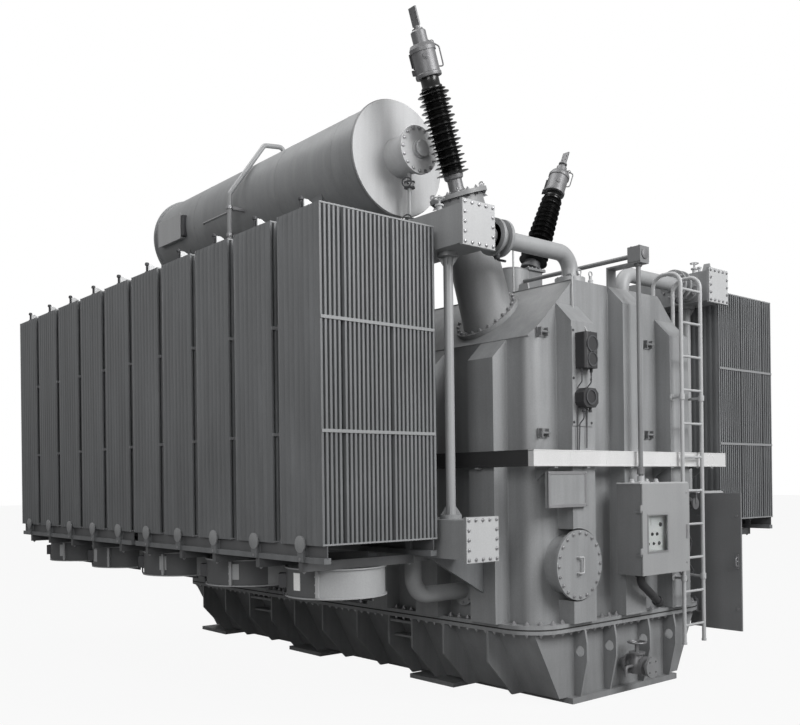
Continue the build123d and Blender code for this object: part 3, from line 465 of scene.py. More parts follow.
for duct in ("upper_duct_left", "upper_duct_right", "lower_duct_left", "lower_duct_right"):
    low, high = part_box(duct)
    side = -1 if "left" in duct else 1
    y = span(side, 1.595, 1.945)
    z = (low.z, high.z) if high.z - low.z < 0.36 else (low.z, low.z + 0.35)
    for x, sign in ((high.x, 1), (low.x, -1)):
        plates.box(sorted((x, x + sign * 0.004)), (y[0] + 0.003, y[1] - 0.003), (z[0] + 0.003, z[1] - 0.003))
        plate_bolts(bolts, x + sign * 0.004, sign, y, z)
plates.make("duct_cover_plates", PLATE, bevel=0.001)

# Joint flange of pan and bell: bolts all round, above and below
FLANGE_X, FLANGE_Y, FLANGE_R = 2.97, 1.26, 0.33


def flange_path(inset, step):
    """Points round the joint flange."""
    hx, hy, r = FLANGE_X - inset, FLANGE_Y - inset, FLANGE_R - inset
    places = []

    def run(a, b):
        count = max(1, round((Vector(b) - Vector(a)).length / step))
        for i in range(count):
            places.append(Vector(a).lerp(Vector(b), (i + 0.5) / count))

    run((-hx + r, -hy, 0), (hx - r, -hy, 0))
    run((-hx + r, hy, 0), (hx - r, hy, 0))
    run((hx, -hy + r, 0), (hx, hy - r, 0))
    run((-hx, -hy + r, 0), (-hx, hy - r, 0))
    for sx in (-1, 1):
        for sy in (-1, 1):
            count = max(2, round(r * math.pi / 2 / step))
            for i in range(count):
                t = math.pi / 2 * (i + 0.5) / count
                places.append(Vector((sx * (hx - r + r * math.cos(t)), sy * (hy - r + r * math.sin(t)), 0)))
    return places


joint = Kit()
for p in flange_path(0.045, 0.105):
    joint.bolt((p.x, p.y, 0.686), UP, 0.017, 0.02)
    joint.bolt((p.x, p.y, 0.614), DOWN, 0.017, 0.02)
joint.make("joint_bolts", STEEL, smooth=30)

# Manhole, turrets, pipes and conservator
bolts.bolt_circle((3.035, -0.78, 1.165), FORE, 0.262, 20, 0.013, 0.012)
bolts.bolt_circle(conservator_at(1.93), FORE, 0.182, 16, 0.013, 0.012)
bolts.bolt_circle(conservator_at(-2.124), (-1, 0, 0), 0.482, 44, 0.011, 0.01)
lean = math.atan(520 / 540)
normal = Vector((0, -math.sin(lean), math.cos(lean)))
ring_z = COVER_Z - (0.86 - 0.61) * 520 / 540
bolts.bolt_circle(Vector((2.10, -0.86, ring_z)) + normal * 0.04, normal, 0.282, 22, 0.015, 0.014)
HV_AXIS = Vector((0, -math.sin(math.radians(19)), math.cos(math.radians(19))))
HV_BASE = Vector((2.14, -0.88, 3.25))
REAR_AXIS = Vector((0, math.sin(math.radians(24)), math.cos(math.radians(24))))
REAR_FOOT = Vector((1.36, 0.545, 4.06))
bolts.bolt_circle(HV_BASE + HV_AXIS * 1.136, HV_AXIS, 0.225, 16, 0.013, 0.016)
dark_bolts.bolt_circle(HV_BASE + HV_AXIS * 1.1, -HV_AXIS, 0.225, 16, 0.013, 0.014)
for side, x in ((-1, 2.72), (1, 2.55)):
    axis = (0, -side, 0)
    bolts.bolt_circle((x, side * (1.62 - 0.056), 3.805), axis, 0.105, 8, 0.012, 0.012)
    bolts.bolt_circle((x, side * 0.48, 3.595), UP, 0.105, 8, 0.012, 0.012)
for y in (0.36, 0.42, 0.48, 0.54, 0.6):
    for x in (1.224, 1.496):
        bolts.bolt((x, y, 3.574), UP, 0.009, 0.009)
        bolts.bolt((x, y, 4.04), UP, 0.009, 0.009)
bolts.bolt_circle((1.65, -0.06, 3.59), UP, 0.205, 14, 0.011, 0.012)
bolts.bolt_circle((1.65, -0.06, 3.9), UP, 0.13, 10, 0.009, 0.01)

# Standpipe feet, valves beside the pipes
valves, grips = Kit(), Kit()
for side, xs in ((-1, (2.56, -3.2)), (1, (2.42, -3.2))):
    for x in xs:
        y = side * DUCT_Y
        for z, up in ((1.565, 1), (3.655, -1)):
            valves.turned((x, y, z), (0, 0, up), [(0.085, 0, 0.014), (0.085, 0.02, 0.034), (0.04, 0.035)], 18)
            for t in angles(4, 0.78):
                d = heading(t)
                p = Vector((x, y, z + up * 0.034))
                valves.prism([p + d * 0.037, p + d * 0.08, p + d * 0.037 + Vector((0, 0, up * 0.07))],
                             d.cross(Vector(UP)) * 0.006)
for side, x in ((-1, 2.72), (1, 2.55)):
    y = side * 1.40
    for dy in (0.045, -0.045):
        valves.disc((x, y + side * dy, 3.805), (0, -side, 0), 0.15, 0.03, 28)
    valves.disc((x, y + side * 0.045, 3.805), (0, -side, 0), 0.11, 0.09, 24)
    bolts.bolt_circle((x, y - side * 0.075, 3.805), (0, -side, 0), 0.128, 10, 0.012, 0.012)
    grips.pipe([(x, y - side * 0.02, 3.70), (x, y - side * 0.02, 3.63), (x + 0.09, y - side * 0.02, 3.60)],
               0.010, 0.03, 8)
    grips.turned((x, y - side * 0.02, 3.635), UP, [(0.022, 0), (0.03, 0.02, 0.06), (0.018, 0.075)], 12)
bolts.make("cover_bolts", STEEL, smooth=30)
grips.make("valve_levers", DARK, smooth=40)
valves.make("pipe_flanges_and_feet", TANK, smooth=35, bevel=0.001)
dark_bolts.make("turret_bolts", DARK, smooth=30)

# Fans: blades, guards, seam flanges and blank tags
blades, guards, seams, tags, boxes = Kit(), Kit(), Kit(), Kit(), Kit()
sheets, first_tag = Kit(), Kit()
FAN_Y, DRUM_R = 2.535, 0.38
TAG_ANGLES = (-86, -52, -58, -90, -62)


def curved(kit, centre, side, start, end, z, out, steps):
    """A thin sheet bent round a drum between two directions."""
    turns = [math.radians(start + (end - start) * k / steps) for k in range(steps + 1)]
    row = []
    for reach, order in ((DRUM_R + out, turns), (DRUM_R - 0.002, turns[::-1])):
        row += [(centre[0] + math.cos(t) * reach, centre[1] - side * math.sin(t) * reach) for t in order]
    kit.loft([[(x, y, h) for x, y in row] for h in z])


for side in (-1, 1):
    for index in range(5):
        cx = fan_x(index)
        cy = side * FAN_Y
        blades.turned((cx, cy, 1.14), UP, [(0.09, 0), (0.095, 0.03), (0.07, 0.06), (0.02, 0.068)])
        for t in angles(7):
            rings = []
            for r, twist, chord in ((0.085, 0.55, 0.10), (0.20, 0.42, 0.13), (0.345, 0.30, 0.15)):
                radial = heading(t)
                across = Vector((-math.sin(t), math.cos(t), 0))
                along = across * math.cos(twist) + Vector(UP) * math.sin(twist)
                thick = along.cross(radial).normalized() * 0.004
                mid = Vector((cx, cy, 1.16)) + radial * r
                crest = mid - along * 0.1 * chord
                rings.append([mid - along * chord / 2, crest + thick, mid + along * chord / 2, crest - thick])
            blades.loft(rings)
        for r in (0.12, 0.175, 0.23, 0.285, 0.34):
            guards.hoop((cx, cy, 1.003), UP, r, 0.0025, 36, 5)
        for t in angles(12):
            d = heading(t)
            hub = Vector((cx, cy, 1.005))
            guards.rod(hub + d * 0.11, hub + d * 0.382, 0.003, 6)
        # Rolled seam and lugs on the outside of the drum
        for angle in (-57, 123):
            t = math.radians(angle * (1 if side < 0 else -1))
            d = heading(t)
            c = d.cross(Vector(UP))
            p = Vector((cx, cy, 1.012)) + d * (DRUM_R - 0.004)
            seams.block(p, d * 0.03, c * 0.012, (0, 0, 0.2))
            for z in (1.05, 1.11, 1.17):
                seams.bolt(p + d * 0.018 + c * 0.012 + Vector((0, 0, z - 1.012)), c, 0.008, 0.007)
        # Terminal box and cable on the drum
        t = math.radians(-128 if side < 0 else 128)
        d = heading(t)
        c = d.cross(Vector(UP))
        p = Vector((cx, cy, 1.06)) + d * (DRUM_R - 0.003)
        boxes.block(p, d * 0.06, c * 0.05, (0, 0, 0.11))
        boxes.pipe([p + d * 0.03 + Vector((0, 0, 0.005)), p + d * 0.03 + Vector((0, 0, -0.075)),
                    Vector((cx, cy, 0.99)) + d * 0.14], 0.008, 0.04, 8)
        # Near-black sheet round the outer half of the drum, painted shade on its shaded side; blank tag on it
        curved(sheets, (cx, cy), side, -10 if index else -60, -182, (1.011, 1.214), 0.003, 24)
        middle = TAG_ANGLES[index]
        curved(tags if index else first_tag, (cx, cy), side, middle + 5.5, middle - 5.5, (1.06, 1.19), 0.007, 4)
blades.make("fan_blades", DARK)
guards.make("fan_guards", STEEL)
seams.make("fan_seams", FAN, bevel=0.001)
boxes.make("fan_terminal_boxes", DARK, bevel=0.002)
sheets.make("fan_drum_shade_sheets", SHADE_BLACK, "fan_paint")
tags.make("fan_blank_tags", TANK_LIGHT, "fan_paint")
first_tag.make("fan_white_tags", PAPER, "fan_paint")
webs, caps, rails = Kit(), Kit(), Kit()
for side in (-1, 1):
    for first in (0, 5):
        near, far = radiator_x(first) + PANEL_W / 2, radiator_x(first + 4) - PANEL_W / 2
        for y in (3.03, 2.04):
            webs.box((far, near), span(side, y - 0.004, y + 0.004), (1.33, 1.426))
            rails.box((far, near), span(side, y - 0.03, y + 0.03), (1.294, 1.336))
            for index in range(first, first + 5):
                cx = radiator_x(index)
                rails.box((cx - 0.03, cx + 0.03), span(side, y - 0.03, y + 0.03), (1.336, 1.421))
    for index in range(10):
        cx = radiator_x(index)
        rails.box((cx - 0.0375, cx + 0.0375), span(side, 3.058, 3.080), (1.298, 1.43))
        caps.turned((cx, side * 3.071, 1.425), (0, side, 0),
                    [(0.060, 0), (0.062, 0.002, 0.012), (0.058, 0.014)], 28)
# Rail webs in near-black paint: painted shade between the rails
webs.make("fan_rail_webs", SHADE_BLACK)
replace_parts(rails.make("fan_rail_bars", RADIATOR, bevel=0.002), "fan_rails")
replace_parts(caps.make("radiator_foot_lugs", TANK, smooth=30), "fan_rails")

# Bolts that hang the fan beams under the rails
hangers = Kit()
for side in (-1, 1):
    for index in range(5):
        cx = fan_x(index)
        for dx in (-0.29, 0.29):
            for y in (3.03, 2.04):
                hangers.bolt((cx + dx, side * y, 1.225), DOWN, 0.012, 0.01)
    for index in range(10):
        cx = radiator_x(index)
        for z in (1.32, 1.375):
            hangers.disc((cx, side * 3.079, z), (0, side, 0), 0.012, 0.0055, 6)
hangers.make("fan_hanger_bolts", STEEL, smooth=30)


# Bushings
def sheds(base, axis, start, length, radii, count=11, core=0.085):
    kit = Kit()
    profile = [(core, start)]
    pitch = length / count
    for i in range(count):
        low = start + i * pitch
        large = radii[0] + (radii[1] - radii[0]) * i / (count - 1)
        small = core + (large - core) * 0.55
        for z, r in ((low, large), (low + pitch / 2, small)):
            profile += [(core, z + 0.001), (r - 0.010, z + 0.0105), (r - 0.002, z + 0.0115), (r, z + 0.0135),
                        (r - 0.002, z + 0.016), (r - 0.012, z + 0.0175), (core + 0.004, z + 0.0225)]
    profile.append((core, start + length))
    kit.turned(base, axis, profile, 56)
    return kit


RIGHT, FRONT = Vector((0.645, 0.764, 0)), Vector((0.76, -0.65, 0))
hv = sheds(HV_BASE, HV_AXIS, 1.294, 0.717, (0.140, 0.136))
hv.turned(HV_BASE, HV_AXIS, [(0.09, 2.005, 2.02), (0.078, 2.03, 2.099)], 40)
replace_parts(hv.make("hv_sheds", GLAZE, smooth=60), "hv_insulator")
rear = sheds(REAR_FOOT, REAR_AXIS, 0.09, 0.815, (0.150, 0.110), 13)
rear.turned(REAR_FOOT, REAR_AXIS, [(0.088, 0.9, 0.912), (0.078, 0.92, 0.965)], 40)
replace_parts(rear.make("rear_sheds", GLAZE, smooth=60), "rear_insulator")
feet = Kit()
feet.turned(HV_BASE, HV_AXIS,
            [(0.11, 1.13, 1.15), (0.07, 1.158), (0.064, 1.18, 1.25), (0.08, 1.262), (0.084, 1.28, 1.294)], 36)
feet.bolt_circle(HV_BASE + HV_AXIS * 1.15, HV_AXIS, 0.09, 8, 0.009, 0.01)
feet.make("near_bushing_foot", CAST, smooth=35)
rear_foot = Kit()
rear_foot.turned(REAR_FOOT, REAR_AXIS, [(0.11, 0.0, 0.03), (0.085, 0.04, 0.135)], 36)
rear_foot.make("rear_bushing_foot", DARK, smooth=35)

# Metal heads: base and axis of the bushing, height of the head's top, radius
HEADS = ((HV_BASE, HV_AXIS, 2.362, 0.103), (REAR_FOOT, REAR_AXIS, 1.215, 0.104))
head = Kit()
for base, axis, top, r in HEADS:
    head.turned(base, axis,
                [(r + 0.006, top - 0.262), (r + 0.008, top - 0.255, top - 0.235), (r + 0.001, top - 0.228)], 40)
    head.bolt_circle(base + axis * (top - 0.026), axis, r - 0.013, 10, 0.008, 0.008)
    # Lifting eye on the collar, thin bleed tube to the dome
    eye = base + axis * (top + 0.005) + RIGHT * (r - 0.012)
    head.hoop(eye + axis * 0.018, FRONT, 0.016, 0.004, 20, 6)
    t0 = base + axis * (top - 0.17) + RIGHT * (r - 0.004)
    t1 = t0 + RIGHT * 0.045
    head.pipe([t0, t1, t1 + axis * 0.16, base + axis * (top + 0.04) + RIGHT * 0.06], 0.006, 0.03, 8)
    head.turned(base + axis * (top - 0.13) + FRONT * (r - 0.006), FRONT,
                [(0.026, 0, 0.01), (0.018, 0.013, 0.022)], 16)
    head.turned(base + axis * (top + 0.115), axis, [(0.045, 0, 0.012), (0.03, 0.016)], 24)
head.make("bushing_head_fittings", CAST, smooth=35)
sight = Kit()
for base, axis, top, r in HEADS:
    p = base + axis * (top - 0.2) - RIGHT * (r - 0.004)
    side = RIGHT.cross(axis).normalized()
    sight.block(p, -RIGHT * 0.014, side * 0.02, axis * 0.13)
    sight.rod(p - RIGHT * 0.02 + axis * 0.01, p - RIGHT * 0.02 + axis * 0.12, 0.007, 10)
    q = p - axis * 0.05 - RIGHT * 0.004
    sight.block(q, -RIGHT * 0.03, side * 0.022, axis * 0.04)
sight.make("bushing_sight_plates", BLACK, bevel=0.001)

# Lifting eyes on the near turret
eyes = Kit()
_, tu, tv = axes_for(HV_AXIS)
for t in angles(4, math.tau / 8):
    d = tu * math.cos(t) + tv * math.sin(t)
    p = HV_BASE + HV_AXIS * 1.055 + d * 0.205
    eyes.prism([p, p + d * 0.04, p + HV_AXIS * 0.045], d.cross(HV_AXIS) * 0.014)
    eyes.hoop(p + d * 0.01 + HV_AXIS * 0.105, d.cross(HV_AXIS), 0.018, 0.006, 24, 8)
eyes.make("turret_lifting_eyes", STEEL, smooth=40)

# Drive cabinet: door leaf (D) with its window (W), hinges, knobs behind it
door = Kit()
DY, DZ, DX = (-0.26, 0.43), (1.05, 1.82), (3.266, 3.279)
WY, WZ = (-0.18, 0.094), (1.25, 1.55)


def framed(kit, x, y, z, wy, wz):
    """A plate that faces along X, with a window in it."""
    outer = [(y[0], z[0]), (y[1], z[0]), (y[1], z[1]), (y[0], z[1])]
    inner = [(wy[0], wz[0]), (wy[1], wz[0]), (wy[1], wz[1]), (wy[0], wz[1])]
    rings = ((x[0], outer), (x[1], outer), (x[1], inner), (x[0], inner), (x[0], outer))
    kit.loft([[(px, a, b) for a, b in ring] for px, ring in rings], False)


framed(door, DX, DY, DZ, WY, WZ)
framed(door, (3.243, 3.268), (DY[0] + 0.006, DY[1] - 0.006), (DZ[0] + 0.006, DZ[1] - 0.006),
       (DY[0] + 0.018, DY[1] - 0.018), (DZ[0] + 0.018, DZ[1] - 0.018))
for z in (1.2303, 1.5903):
    door.disc((3.276, -0.28, z), UP, 0.0095, 0.05, 16)
    door.box((3.2725, 3.2795), (-0.279, -0.255), (z, z + 0.05))
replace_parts(door.make("drive_door_leaf", DOOR, body="drive_door", bevel=0.002), "drive_cabinet_door")
trim = Kit()
framed(trim, (3.276, 3.284), (WY[0] - 0.014, WY[1] + 0.014), (WZ[0] - 0.014, WZ[1] + 0.014), WY, WZ)
trim.box((3.278, 3.285), (0.375, 0.405), (1.34, 1.46))
trim.disc((3.277, 0.39, 1.40), FORE, 0.012, 0.008, 16)
for z in (1.13, 1.74):
    trim.turned((3.277, 0.39, z), FORE, [(0.011, 0, 0.006), (0.007, 0.007)], 16)
trim.make("drive_door_trim", STEEL, body="drive_door", bevel=0.001)
pane = Kit()
pane.box((3.2695, 3.2725), (WY[0] - 0.004, WY[1] + 0.004), (WZ[0] - 0.004, WZ[1] + 0.004))
pane.make("drive_door_glass", GLASS, body="drive_door")
inside = Kit()
inside.box((3.226, 3.23), (-0.235, 0.41), (1.075, 1.795))
inside.box((3.23, 3.236), (-0.17, -0.11), (1.46, 1.53))
inside.box((3.23, 3.236), (-0.08, 0.0), (1.465, 1.53))
inside.make("drive_cabinet_panel", PAPER, bevel=0.001)
knobs = Kit()
for y, z, r in ((-0.135, 1.39, 0.022), (-0.06, 1.39, 0.016), (0.01, 1.39, 0.016), (0.06, 1.47, 0.02),
                (-0.12, 1.31, 0.018), (-0.04, 1.31, 0.014), (0.04, 1.31, 0.018)):
    knobs.turned((3.229, y, z), FORE, [(r, 0, 0.003), (r * 0.7, 0.004, 0.011), (r * 0.5, 0.012)])
knobs.box((3.23, 3.238), (-0.2, 0.35), (1.11, 1.2))
knobs.make("drive_cabinet_controls", BLACK, bevel=0.001)
roof = Kit()
roof.loft([[(x, y, z) for x, y in ((x0, -0.268 + e), (3.262, -0.268 + e), (3.262, 0.438 - e), (x0, 0.438 - e))]
           for x0, z, e in ((3.022, 1.818, 0), (3.022, 1.826, 0), (3.022, 1.832, 0.01))])
for y in (-0.19, 0.02, 0.16):
    roof.turned((LADDER_X, y, 1.826), UP, [(0.026, 0, 0.014), (0.018, 0.018, 0.034), (0.01, 0.036)], 14)
roof.turned((LADDER_X, SHAFT_Y, 1.826), UP, [(0.045, 0, 0.012), (0.03, 0.016, 0.06), (0.024, 0.062)])
roof.make("drive_cabinet_roof", TANK_LIGHT, bevel=0.002)

# Conduit out of the drive cabinet
conduit = Kit()
conduit.pipe([(3.14, -0.10, 1.055), (3.14, -0.10, 0.97), (3.12, 0.08, 0.86), (3.06, 0.26, 0.775)],
             0.036, 0.08, 12)
conduit.disc((3.14, -0.10, 1.025), UP, 0.048, 0.03, 16)
conduit.turned((3.06, 0.26, 0.775), (-0.26, 0.83, -0.42), [(0.046, -0.03, 0.03), (0.038, 0.035, 0.05)], 16)
# Hoses between the cabinet's right side and the tank's edge
for z0, y1, z1, drop in ((1.74, 1.06, 1.66, 0.16), (1.45, 1.08, 1.30, 0.22), (1.24, 1.10, 1.02, 0.12)):
    conduit.pipe([(3.10, 0.42, z0), (3.10, 0.50, z0), (3.02, (0.44 + y1) / 2, z1 - drop),
                  (2.90, y1 - 0.02, z1 - 0.05), (TANK_END, y1, z1)], 0.012, 0.12, 8)
conduit.make("cabinet_conduit", BLACK)

# Control cabinet: door edges, handle, mounting plate and terminal rows
leaf = Kit()
for x in (2.875, 3.237):
    leaf.box((x, x + 0.006), (1.338, 1.352), (0.43, 1.695))
for z in (0.43, 1.689):
    leaf.box((2.875, 3.243), (1.338, 1.352), (z, z + 0.006))
leaf.make("control_door_edges", TANK, body="control_door", bevel=0.001)
grip = Kit()
grip.box((3.205, 3.235), (1.314, 1.321), (1.0, 1.14))
grip.pipe([(3.22, 1.318, 1.11), (3.22, 1.296, 1.10), (3.22, 1.296, 1.03), (3.22, 1.318, 1.02)], 0.006, 0.012, 8)
grip.turned((3.22, 1.318, 1.07), (0, -1, 0), [(0.012, 0, 0.008), (0.008, 0.01)], 14)
for z in (0.62, 1.5):
    grip.disc((3.22, 1.321, z), (0, -1, 0), 0.012, 0.006, 14)
grip.make("control_door_handle", STEEL, body="control_door", bevel=0.001)
rows = Kit()
rows.box((2.708, 2.712), (1.362, 1.738), (0.43, 1.695))
rows.make("control_cabinet_plate", PLATE)
blocks = Kit()
for row, z in enumerate((0.55, 0.78, 1.02, 1.28, 1.5)):
    blocks.box((2.712, 2.722), (1.38, 1.72), (z - 0.02, z + 0.02))
    for i in range(18):
        y = 1.385 + i * 0.0185
        blocks.box((2.722, 2.722 + (0.05 if row % 2 else 0.04)), (y, y + 0.015), (z - 0.045, z + 0.045))
blocks.make("control_cabinet_terminals", BLACK, bevel=0.001)
hood = Kit()
hood.loft([[(x, y, z) for x, y in ((2.69, 1.345), (x1, 1.345), (x1, 1.755), (2.69, 1.755))]
           for x1, z in ((2.824, 1.714), (2.824, 1.722), (2.80, 1.735))])
hood.make("control_cabinet_hood", TANK_LIGHT, bevel=0.001)

# Instruments: bezels, glasses, knobs
bezel, glass, knob = Kit(), Kit(), Kit()
for z, r in ((2.965, 0.058), (2.84, 0.05)):
    bezel.ring((3.132, -0.715, z), FORE, r + 0.012, r, 0.012, 36)
    glass.disc((3.136, -0.715, z), FORE, r + 0.001, 0.003, 36)
bezel.ring((3.112, -0.715, 2.535), FORE, 0.066, 0.052, 0.014, 36)
glass.disc((3.116, -0.715, 2.535), FORE, 0.053, 0.003, 36)
for y in (-0.755, -0.675):
    knob.turned((3.075, y, 2.452), DOWN, [(0.012, 0, 0.02), (0.016, 0.022, 0.036), (0.008, 0.04)], 14)
for y in (-0.655, -0.775):
    knob.turned((3.075, y, 2.772), DOWN, [(0.013, 0, 0.03), (0.007, 0.034, 0.06)], 12)
for dy in (-0.118, 0.118):
    for z in (2.33, 2.69, 3.08):
        knob.bolt((3.028, -0.7125 + dy * 0.95, z), FORE, 0.009, 0.007)
bezel.make("instrument_bezels", DARK, smooth=30)
glass.make("instrument_glass", BLACK)
knob.make("instrument_fittings", DARK)
capillary = Kit()
for y, low, end in ((-0.775, 2.71, 2.06), (-0.655, 2.71, 2.12), (-0.755, 2.41, 2.08)):
    capillary.pipe([(3.075, y, low), (3.075, y, low - 0.05), (3.04, y - 0.01, low - 0.09),
                    (3.036, y - 0.02, end)], 0.005, 0.03, 8)
capillary.make("instrument_leads", DARK)
holder = Kit()
framed(holder, (3.044, 3.054), (-1.18, -0.70), (1.64, 1.93), (-1.155, -0.725), (1.665, 1.905))
for y in (-1.167, -0.712):
    for z in (1.655, 1.915):
        holder.bolt((3.054, y, z), FORE, 0.006, 0.004)
holder.make("plate_holder_frame", STEEL, bevel=0.001)

# Cable tray: folded near end with a lid lip, long sides in near-black paint that is painted shade
tray_end, tray_sides = Kit(), Kit()
tray_end.box((END_FACE, 3.078), (-1.376, 1.376), (1.97, 2.098))
tray_end.box((3.018, 3.08), (-1.376, 1.376), (2.09, 2.1))
tray_end.box((3.076, 3.08), (-1.376, 1.376), (1.97, 1.985))
for y in (-0.92, -0.46, 0.0, 0.46, 0.92):
    tray_end.box((3.076, 3.08), (y - 0.012, y + 0.012), (1.985, 2.09))
for side in (-1, 1):
    tray_sides.box((-2.597, 3.018), span(side, 1.316, 1.374), (1.97, 2.096))
    tray_sides.box((-2.597, 3.018), span(side, 1.314, 1.376), (2.088, 2.1))
    tray_sides.box((-2.597, 3.018), span(side, 1.372, 1.376), (1.97, 1.985))
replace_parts(tray_end.make("tray_near_end", TRAY, bevel=0.0015), "cable_tray")
tray_sides.make("tray_long_sides", TRAY_SIDE_SHADE, bevel=0.0015)
hooks = Kit()
for y in (-1.1, -0.695, -0.1, 0.5, 0.9, 1.15):
    wall = END_FACE if any(abs(y - middle) < STIFFENER_HALF for middle in END_STIFFENERS) else TANK_END
    hooks.box((wall, 3.07), (y - 0.02, y + 0.02), (1.955, 1.97))
    if wall == TANK_END:
        web = y - 0.004
        hooks.prism([(wall, web, 1.97), (END_FACE, web, 1.97), (wall, web, 1.86)], (0, 0.008, 0))
for k in range(8):
    x = stiffener_x(k)
    for side in (-1, 1):
        hooks.box((x - 0.02, x + 0.02), span(side, 1.316, 1.37), (1.955, 1.97))
hooks.make("tray_brackets", TANK, bevel=0.001)

# Weld beads and lips round the stiffeners
welds = Kit()
for y in END_STIFFENERS:
    for dy in (-STIFFENER_HALF, STIFFENER_HALF):
        for end in (-1, 1):
            top = 3.5 if abs(y) < 0.1 else 3.2
            low = 0.70 if not (end > 0 and y < -0.1) else 1.5
            welds.rod((end * 2.861, y + dy, low), (end * 2.861, y + dy, top), 0.006, 6)
for k in range(8):
    for dx in (-STIFFENER_HALF, STIFFENER_HALF):
        for side in (-1, 1):
            x, y = stiffener_x(k) + dx, side * (TANK_SIDE + 0.001)
            welds.rod((x, y, 0.69), (x, y, 3.02), 0.006, 6)
for side in (-1, 1):
    welds.rod((-2.84, side * 0.612, 3.551), (2.84, side * 0.612, 3.551), 0.006, 8)
    welds.rod((-2.84, side * 1.149, 3.031), (2.84, side * 1.149, 3.031), 0.006, 8)
welds.make("weld_beads", TANK)

# Joint clamps at the corners, jacking plates and the stiffeners' feet
clamps = Kit()
for side in (-1, 1):
    for end in (-1, 1):
        if side < 0 < end:
            continue
        for x, y in ((2.955, 0.86), (2.90, 1.12)):
            clamps.box(span(end, x - 0.03, x + 0.012), span(side, y - 0.02, y + 0.02), (0.59, 0.71))
            clamps.bolt((end * (x - 0.01), side * y, 0.71), UP, 0.013, 0.014)
clamps.make("joint_clamps", DARK, bevel=0.002)
pads = Kit()
for side in (-1, 1):
    for a, b in ((1.161, 1.469), (-1.339, -0.901)):
        pads.box((a, b), span(side, 1.10, 1.25), (0.560, 0.585))
        pads.box((a, b), span(side, 1.0, 1.20), (0.42, 0.44))
pads.make("jacking_plates", TANK, bevel=0.002)
shelf = Kit()
for y in END_STIFFENERS:
    for end in (-1, 1):
        if end > 0 and y < -0.1:
            continue
        shelf.box(span(end, 3.018, 3.024), (y - 0.15, y + 0.15), (0.686, 0.70))
shelf.make("stiffener_feet", TANK, bevel=0.002)

# Small valve at the tank's right edge, drain valve body with a handwheel
small = Kit()
small.turned((TANK_END, 1.08, 1.62), FORE, [(0.06, 0, 0.016), (0.03, 0.018, 0.06), (0.055, 0.062, 0.078)])
small.disc((2.94, 1.08, 1.62), UP, 0.012, 0.1, 10)
small.hoop((2.94, 1.08, 1.725), UP, 0.045, 0.007, 24, 8)
small.turned((3.02, 0, 0.242), UP,
             [(0.06, -0.07), (0.07, -0.03, 0.03), (0.05, 0.07, 0.1), (0.07, 0.1, 0.114), (0.02, 0.118),
              (0.014, 0.2)], 22)
for x in (2.93, 3.105):
    small.disc((x - 0.012, 0, 0.242), FORE, 0.085, 0.024, 26)
small.hoop((3.02, 0, 0.44), UP, 0.075, 0.009, 28, 8)
for t in angles(3):
    small.rod((3.02, 0, 0.44), Vector((3.02, 0, 0.44)) + heading(t) * 0.075, 0.006, 6)
small.pipe([(3.02, -0.07, 0.242), (3.02, -0.16, 0.242), (3.02, -0.16, 0.16)], 0.014, 0.03, 10)
small.make("valves", CAST, smooth=35)

# Cover: thin pipe with two small valves, eyes and a bracket
cover = Kit()
cover.pipe([(2.74, -0.55, 3.555), (2.74, -0.55, 3.62), (2.84, -0.60, 3.60), (2.875, -0.64, 3.50),
            (2.88, -0.64, 3.25), (3.02, -0.66, 3.12), (3.06, -0.67, 3.055)], 0.007, 0.05, 8)
cover.rod((1.9, -0.303, COVER_Z), (1.9, -0.303, 4.05), 0.009, 8)
cover.turned((2.74, -0.55, 3.551), UP, [(0.04, 0, 0.014), (0.02, 0.018)], 16)
for y in (-0.45, -0.30):
    cover.turned((2.80, y, 3.551), UP, [(0.022, 0, 0.04), (0.014, 0.045, 0.075)], 12)
    cover.hoop((2.80, y, 3.645), FORE, 0.022, 0.006, 20, 6)
for x in (2.2, 0.9, -0.4, -1.7, -2.6):
    for y in (-0.50, 0.50):
        cover.prism([(x + dx, y, z) for dx, z in ((-0.07, 3.551), (0.07, 3.551), (0.05, 3.64), (-0.05, 3.64))],
                    (0, 0.02, 0))
cover.make("cover_fittings", TANK_LIGHT, bevel=0.001)
handle = Kit()
handle.pipe([(3.035, -0.815, 1.23), (3.065, -0.815, 1.23), (3.065, -0.765, 1.23), (3.065, -0.765, 1.10),
             (3.065, -0.815, 1.10), (3.035, -0.815, 1.10)], 0.008, 0.016, 8)
handle.make("manhole_handle", TANK_LIGHT, smooth=50)
wall_lugs = Kit()
for y, z in ((-1.022, 3.062), (-1.022, 2.24), (0.423, 3.081), (0.423, 2.258)):
    wall_lugs.box((TANK_END, 2.868), (y - 0.06, y + 0.06), (z - 0.035, z + 0.045))
    wall_lugs.box((2.868, 2.905), (y - 0.05, y - 0.04), (z - 0.03, z + 0.04))
    wall_lugs.box((2.868, 2.905), (y + 0.03, y + 0.04), (z - 0.03, z + 0.04))
    wall_lugs.rod((2.892, y - 0.055, z + 0.005), (2.892, y + 0.055, z + 0.005), 0.011, 10)
wall_lugs.make("end_wall_lugs", BOX, bevel=0.001)
head_bits = Kit()
head_bits.turned((1.65, -0.06, 3.90), UP, [(0.165, 0, 0.012), (0.12, 0.03), (0.03, 0.045)], 36)
head_bits.turned((3.19, -0.06, 3.785), FORE, [(0.045, 0, 0.008), (0.03, 0.012)])
head_bits.turned((LADDER_X, SHAFT_Y, 3.685), UP, [(0.03, 0), (0.034, 0.01, 0.032)], 16)
head_bits.turned((LADDER_X, SHAFT_Y, 1.90), UP, [(0.034, 0, 0.06), (0.022, 0.065)], 16)
for y in (-0.105, -0.015):
    for x in (3.085, 3.165):
        head_bits.bolt((x, y, 3.85), UP, 0.008, 0.007)
head_bits.make("tap_changer_fittings", CAST, smooth=35)

